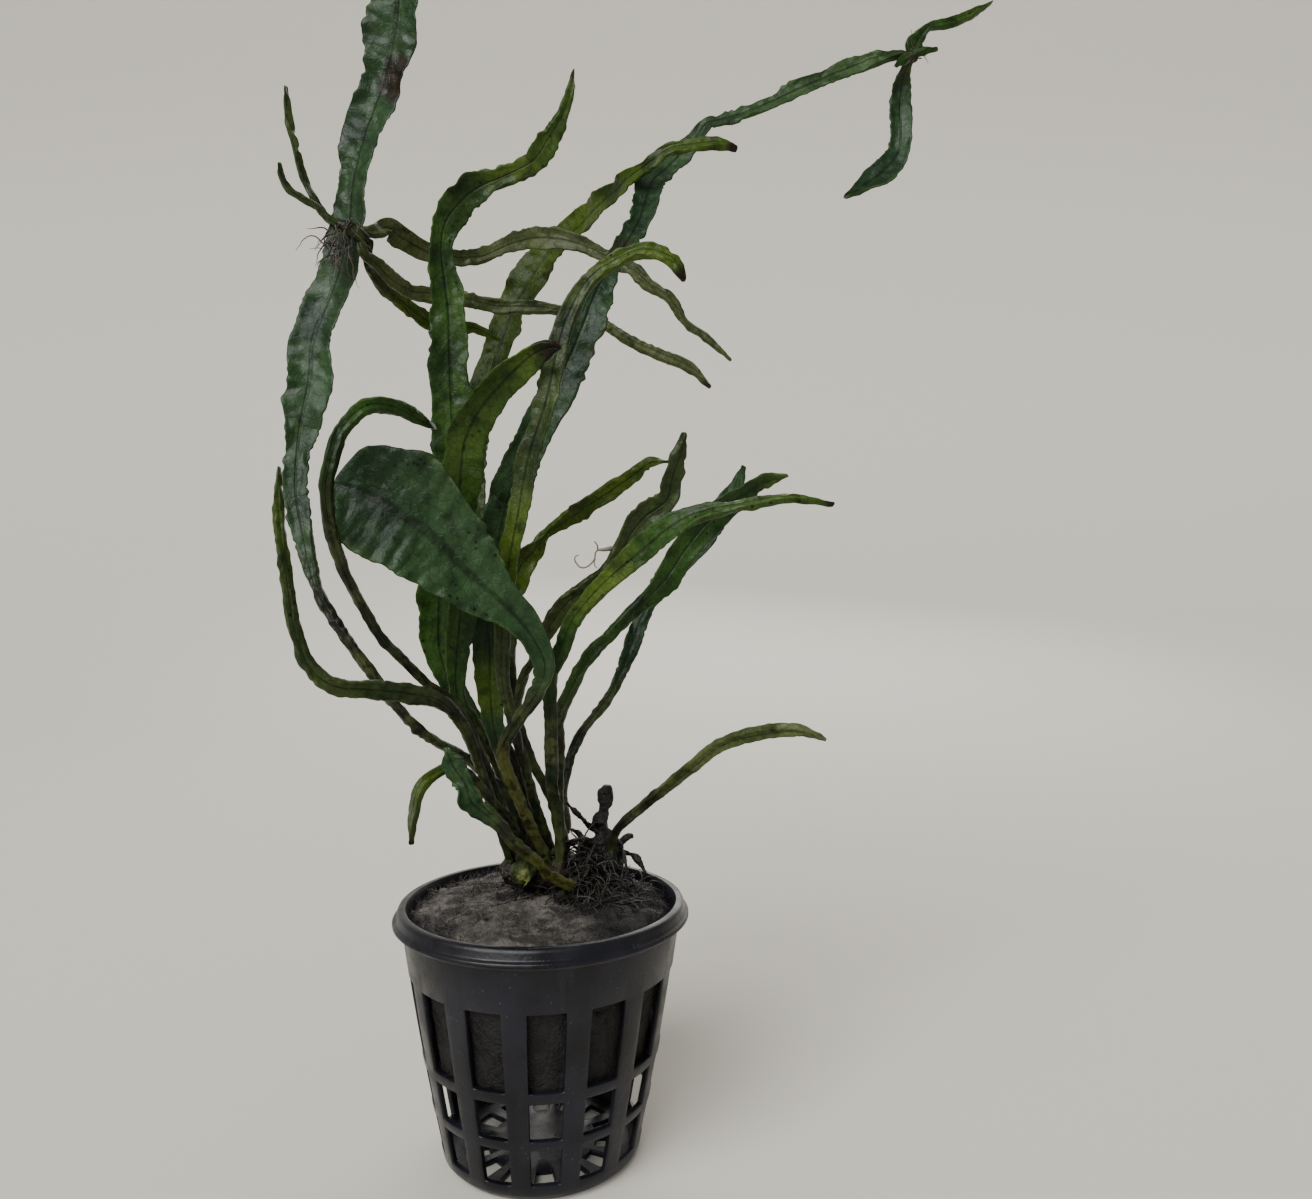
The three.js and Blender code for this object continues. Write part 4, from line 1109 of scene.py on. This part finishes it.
def turn_ring(rings, columns, name):
    """A round wall through rings of radius and height, left open in edit mode."""
    bpy.ops.mesh.primitive_circle_add(
        vertices=columns,
        radius=rings[0][0] * MM,
        fill_type="NOTHING",
        location=(0, 0, rings[0][1] * MM),
        rotation=(0, 0, math.radians(RIB_TURN)),
    )
    piece = bpy.context.object
    piece.name = name
    settle(piece)
    open_mesh(piece, "EDGE")
    bpy.ops.mesh.select_all(action="SELECT")
    raise_rings(rings)
    return piece


def rib_column(co):
    """The column of the wall that a place is in, counted from the middle of a rib."""
    angle = math.degrees(math.atan2(co.y, co.x)) - RIB_TURN
    pitch = 360 / RIBS
    return ((angle + pitch / 2) % pitch - pitch / 2) / (pitch / COLUMNS_PER_RIB)


def mould_pot():
    """The slatted wall and base with their windows, and the rim band on top."""
    rings = [(radius, 0) for radius in (2, 6, BASE_SLOT_INNER, BASE_SLOT_OUTER, BASE_RADIUS - 0.4)]
    rings.append((BASE_RADIUS + 0.5, 0.4))
    rings += [(wall_radius(z), z) for z in WALL_LEVELS]
    wall = turn_ring(rings, RIBS * COLUMNS_PER_RIB, "wall")
    pick(wall, "EDGE", lambda co: co.length < 2.01 * MM)
    bpy.ops.mesh.edge_face_add()
    bpy.ops.mesh.select_mode(type="FACE")

    def in_window(co):
        height = co.z / MM
        gap = abs(rib_column(co)) > RIB_HALF_COLUMNS
        in_tier = any(low < height < high for low, high in WINDOW_TIERS)
        radius = co.xy.length / MM
        in_slot = height < 0.1 and BASE_SLOT_INNER < radius < BASE_SLOT_OUTER
        return gap and (in_tier or in_slot)

    pick(wall, "FACE", in_window)
    bpy.ops.mesh.delete(type="FACE")
    close_mesh()
    modify(wall, "SOLIDIFY", thickness=POT_WALL * MM, offset=-1)
    limit = math.radians(50)
    modify(wall, "BEVEL", width=WINDOW_BEVEL * MM, segments=2, limit_method="ANGLE", angle_limit=limit)
    finish_modifiers(wall)
    rim = turn_ring(RIM_SECTION, RIBS * COLUMNS_PER_RIB, "rim")
    bpy.ops.mesh.select_all(action="SELECT")
    bpy.ops.mesh.remove_doubles(threshold=0.01 * MM)
    bpy.ops.mesh.normals_make_consistent(inside=False)
    close_mesh()
    pot = fuse([wall, rim])
    smooth(pot, 40)
    return pot


hand_over(mould_pot(), "net_pot_shell", "pot_plastic", plastic_finish(), "net_pot")


# Wool

def pack_wool():
    """The plug with its domed top, lumpy all over and more so on top."""
    rings = [(1, WOOL_FOOT), (8, WOOL_FOOT), (14, WOOL_FOOT)]
    rings += [(wall_radius(z) - 1.5, z) for z in (WOOL_FOOT + 0.6, 20, 25, 30, 36, WOOL_EDGE - 1.2)]
    rings += [(radius, wool_height(radius, 0)) for radius in (21.6, 19, 16, 13, 10, 7, 4, 1)]
    plug = turn_ring(rings, WOOL_COLUMNS, "wool")
    bpy.ops.mesh.select_all(action="SELECT")
    bpy.ops.mesh.fill_holes(sides=0)
    bpy.ops.mesh.normals_make_consistent(inside=False)
    bpy.ops.mesh.quads_convert_to_tris(quad_method="BEAUTY", ngon_method="BEAUTY")
    close_mesh()
    modify(plug, "SUBSURF", subdivision_type="SIMPLE", levels=1, render_levels=1)
    low, high = (WOOL_EDGE - 2) * MM, WOOL_EDGE * MM
    top = weigh(plug, "top", lambda co: blend_between(0.35, 1, ease(co.z, low, high)))
    for size, strength in ((6, 2.4), (1.8, 1.3)):
        push(plug, cloud("wool_lumps", size, 2), strength, top)
    finish_modifiers(plug)
    smooth(plug)
    return plug


WOOL = wool_finish()
hand_over(pack_wool(), "rockwool_plug", "wool", WOOL, "rockwool")


def comb_fibres():
    """Loose fibres of the wool, on its top and in the windows."""
    dice = random.Random(11)
    routes = []
    for _ in range(TOP_FIBRES):
        radius = (MOUTH_RADIUS - 1.2) * math.sqrt(dice.random())
        angle = dice.uniform(0, 2 * math.pi)
        x, y = radius * math.cos(angle), radius * math.sin(angle)
        way = (dice.uniform(-1, 1), dice.uniform(-1, 1), dice.uniform(0.1, 1.0))
        start = (x, y, wool_height(x, y) - 0.3)
        routes.append(wander(dice, start, way, 4, dice.uniform(0.3, 0.75), 0.55, (0, 0, -0.16)))
    for _ in range(SIDE_FIBRES):
        z = dice.uniform(WOOL_FOOT, 34)
        angle = dice.uniform(0, 2 * math.pi)
        radius = wall_radius(z) - 1.7
        across = Vector((-math.sin(angle), math.cos(angle), dice.uniform(-1.2, 1.2))) * dice.choice((-1, 1))
        start = (radius * math.cos(angle), radius * math.sin(angle), z)
        routes.append(wander(dice, start, across, 4, dice.uniform(0.4, 0.8), 0.35))
    return spin_threads("fibres", routes, FIBRE_THICK)


hand_over(comb_fibres(), "rockwool_fibres", "wool", WOOL)


# Floor, light and camera, in metres

PLANT_MIDDLE = (0.01, 0, 0.1)
CAMERA_PLACE = (0.0202, -0.168, 0.0972)
CAMERA_LENS = 25.8
SUN_POWER = 3.3
SUN_SPREAD = 50
SKY_POWER = 0.42


def lay_floor():
    """A pale floor that sweeps up behind the plant."""
    bpy.ops.mesh.primitive_plane_add(size=4, location=(0, -0.4, 0))
    floor = bpy.context.object
    floor.name = "floor"
    settle(floor)
    open_mesh(floor, "EDGE")
    pick(floor, "EDGE", lambda co: co.y > 1.5)
    bpy.ops.mesh.extrude_region_move(TRANSFORM_OT_translate={"value": (0, 0, 2.4)})
    bpy.ops.mesh.select_all(action="DESELECT")
    pick(floor, "EDGE", lambda co: co.y > 1.5 and co.z < 0.01 and abs(co.x) < 0.01)
    bpy.ops.mesh.bevel(offset=1.1, segments=16, affect="EDGES")
    close_mesh()
    smooth(floor)
    material = bpy.data.materials.new("floor")
    material.use_nodes = True
    shader = material.node_tree.nodes["Principled BSDF"]
    shader.inputs["Base Color"].default_value = rgb(0.6, 0.575, 0.51)
    shader.inputs["Roughness"].default_value = 0.95
    shader.inputs["Specular IOR Level"].default_value = 0.1
    floor.data.materials.append(material)


def hang_light(name, place, size, power):
    """A soft square lamp that looks at the plant's middle."""
    bpy.ops.object.light_add(type="AREA", location=place)
    lamp = bpy.context.object
    lamp.name = name
    lamp.data.size = size
    lamp.data.energy = power
    direction = Vector(PLANT_MIDDLE) - Vector(place)
    lamp.rotation_euler = direction.to_track_quat("-Z", "Y").to_euler()


lay_floor()
bpy.ops.object.light_add(type="SUN", rotation=(math.radians(52), 0, math.radians(-28)))
sun = bpy.context.object
sun.name = "sun"
sun.data.energy = SUN_POWER
sun.data.angle = math.radians(SUN_SPREAD)
hang_light("key", (-0.45, -0.55, 0.7), 0.4, 2.5)
hang_light("back", (0.15, 0.7, 0.55), 0.7, 3)
world = bpy.data.worlds.new("studio")
world.use_nodes = True
sky = world.node_tree.nodes["Background"]
sky.inputs["Color"].default_value = rgb(0.86, 0.85, 0.83)
sky.inputs["Strength"].default_value = SKY_POWER
bpy.context.scene.world = world

camera_data = bpy.data.cameras.new("camera")
camera = bpy.data.objects.new("camera", camera_data)
bpy.context.scene.collection.objects.link(camera)
camera.location = CAMERA_PLACE
camera.rotation_euler = (math.radians(90), 0, 0)
camera_data.lens = CAMERA_LENS
camera_data.clip_start = 0.005
bpy.context.scene.camera = camera
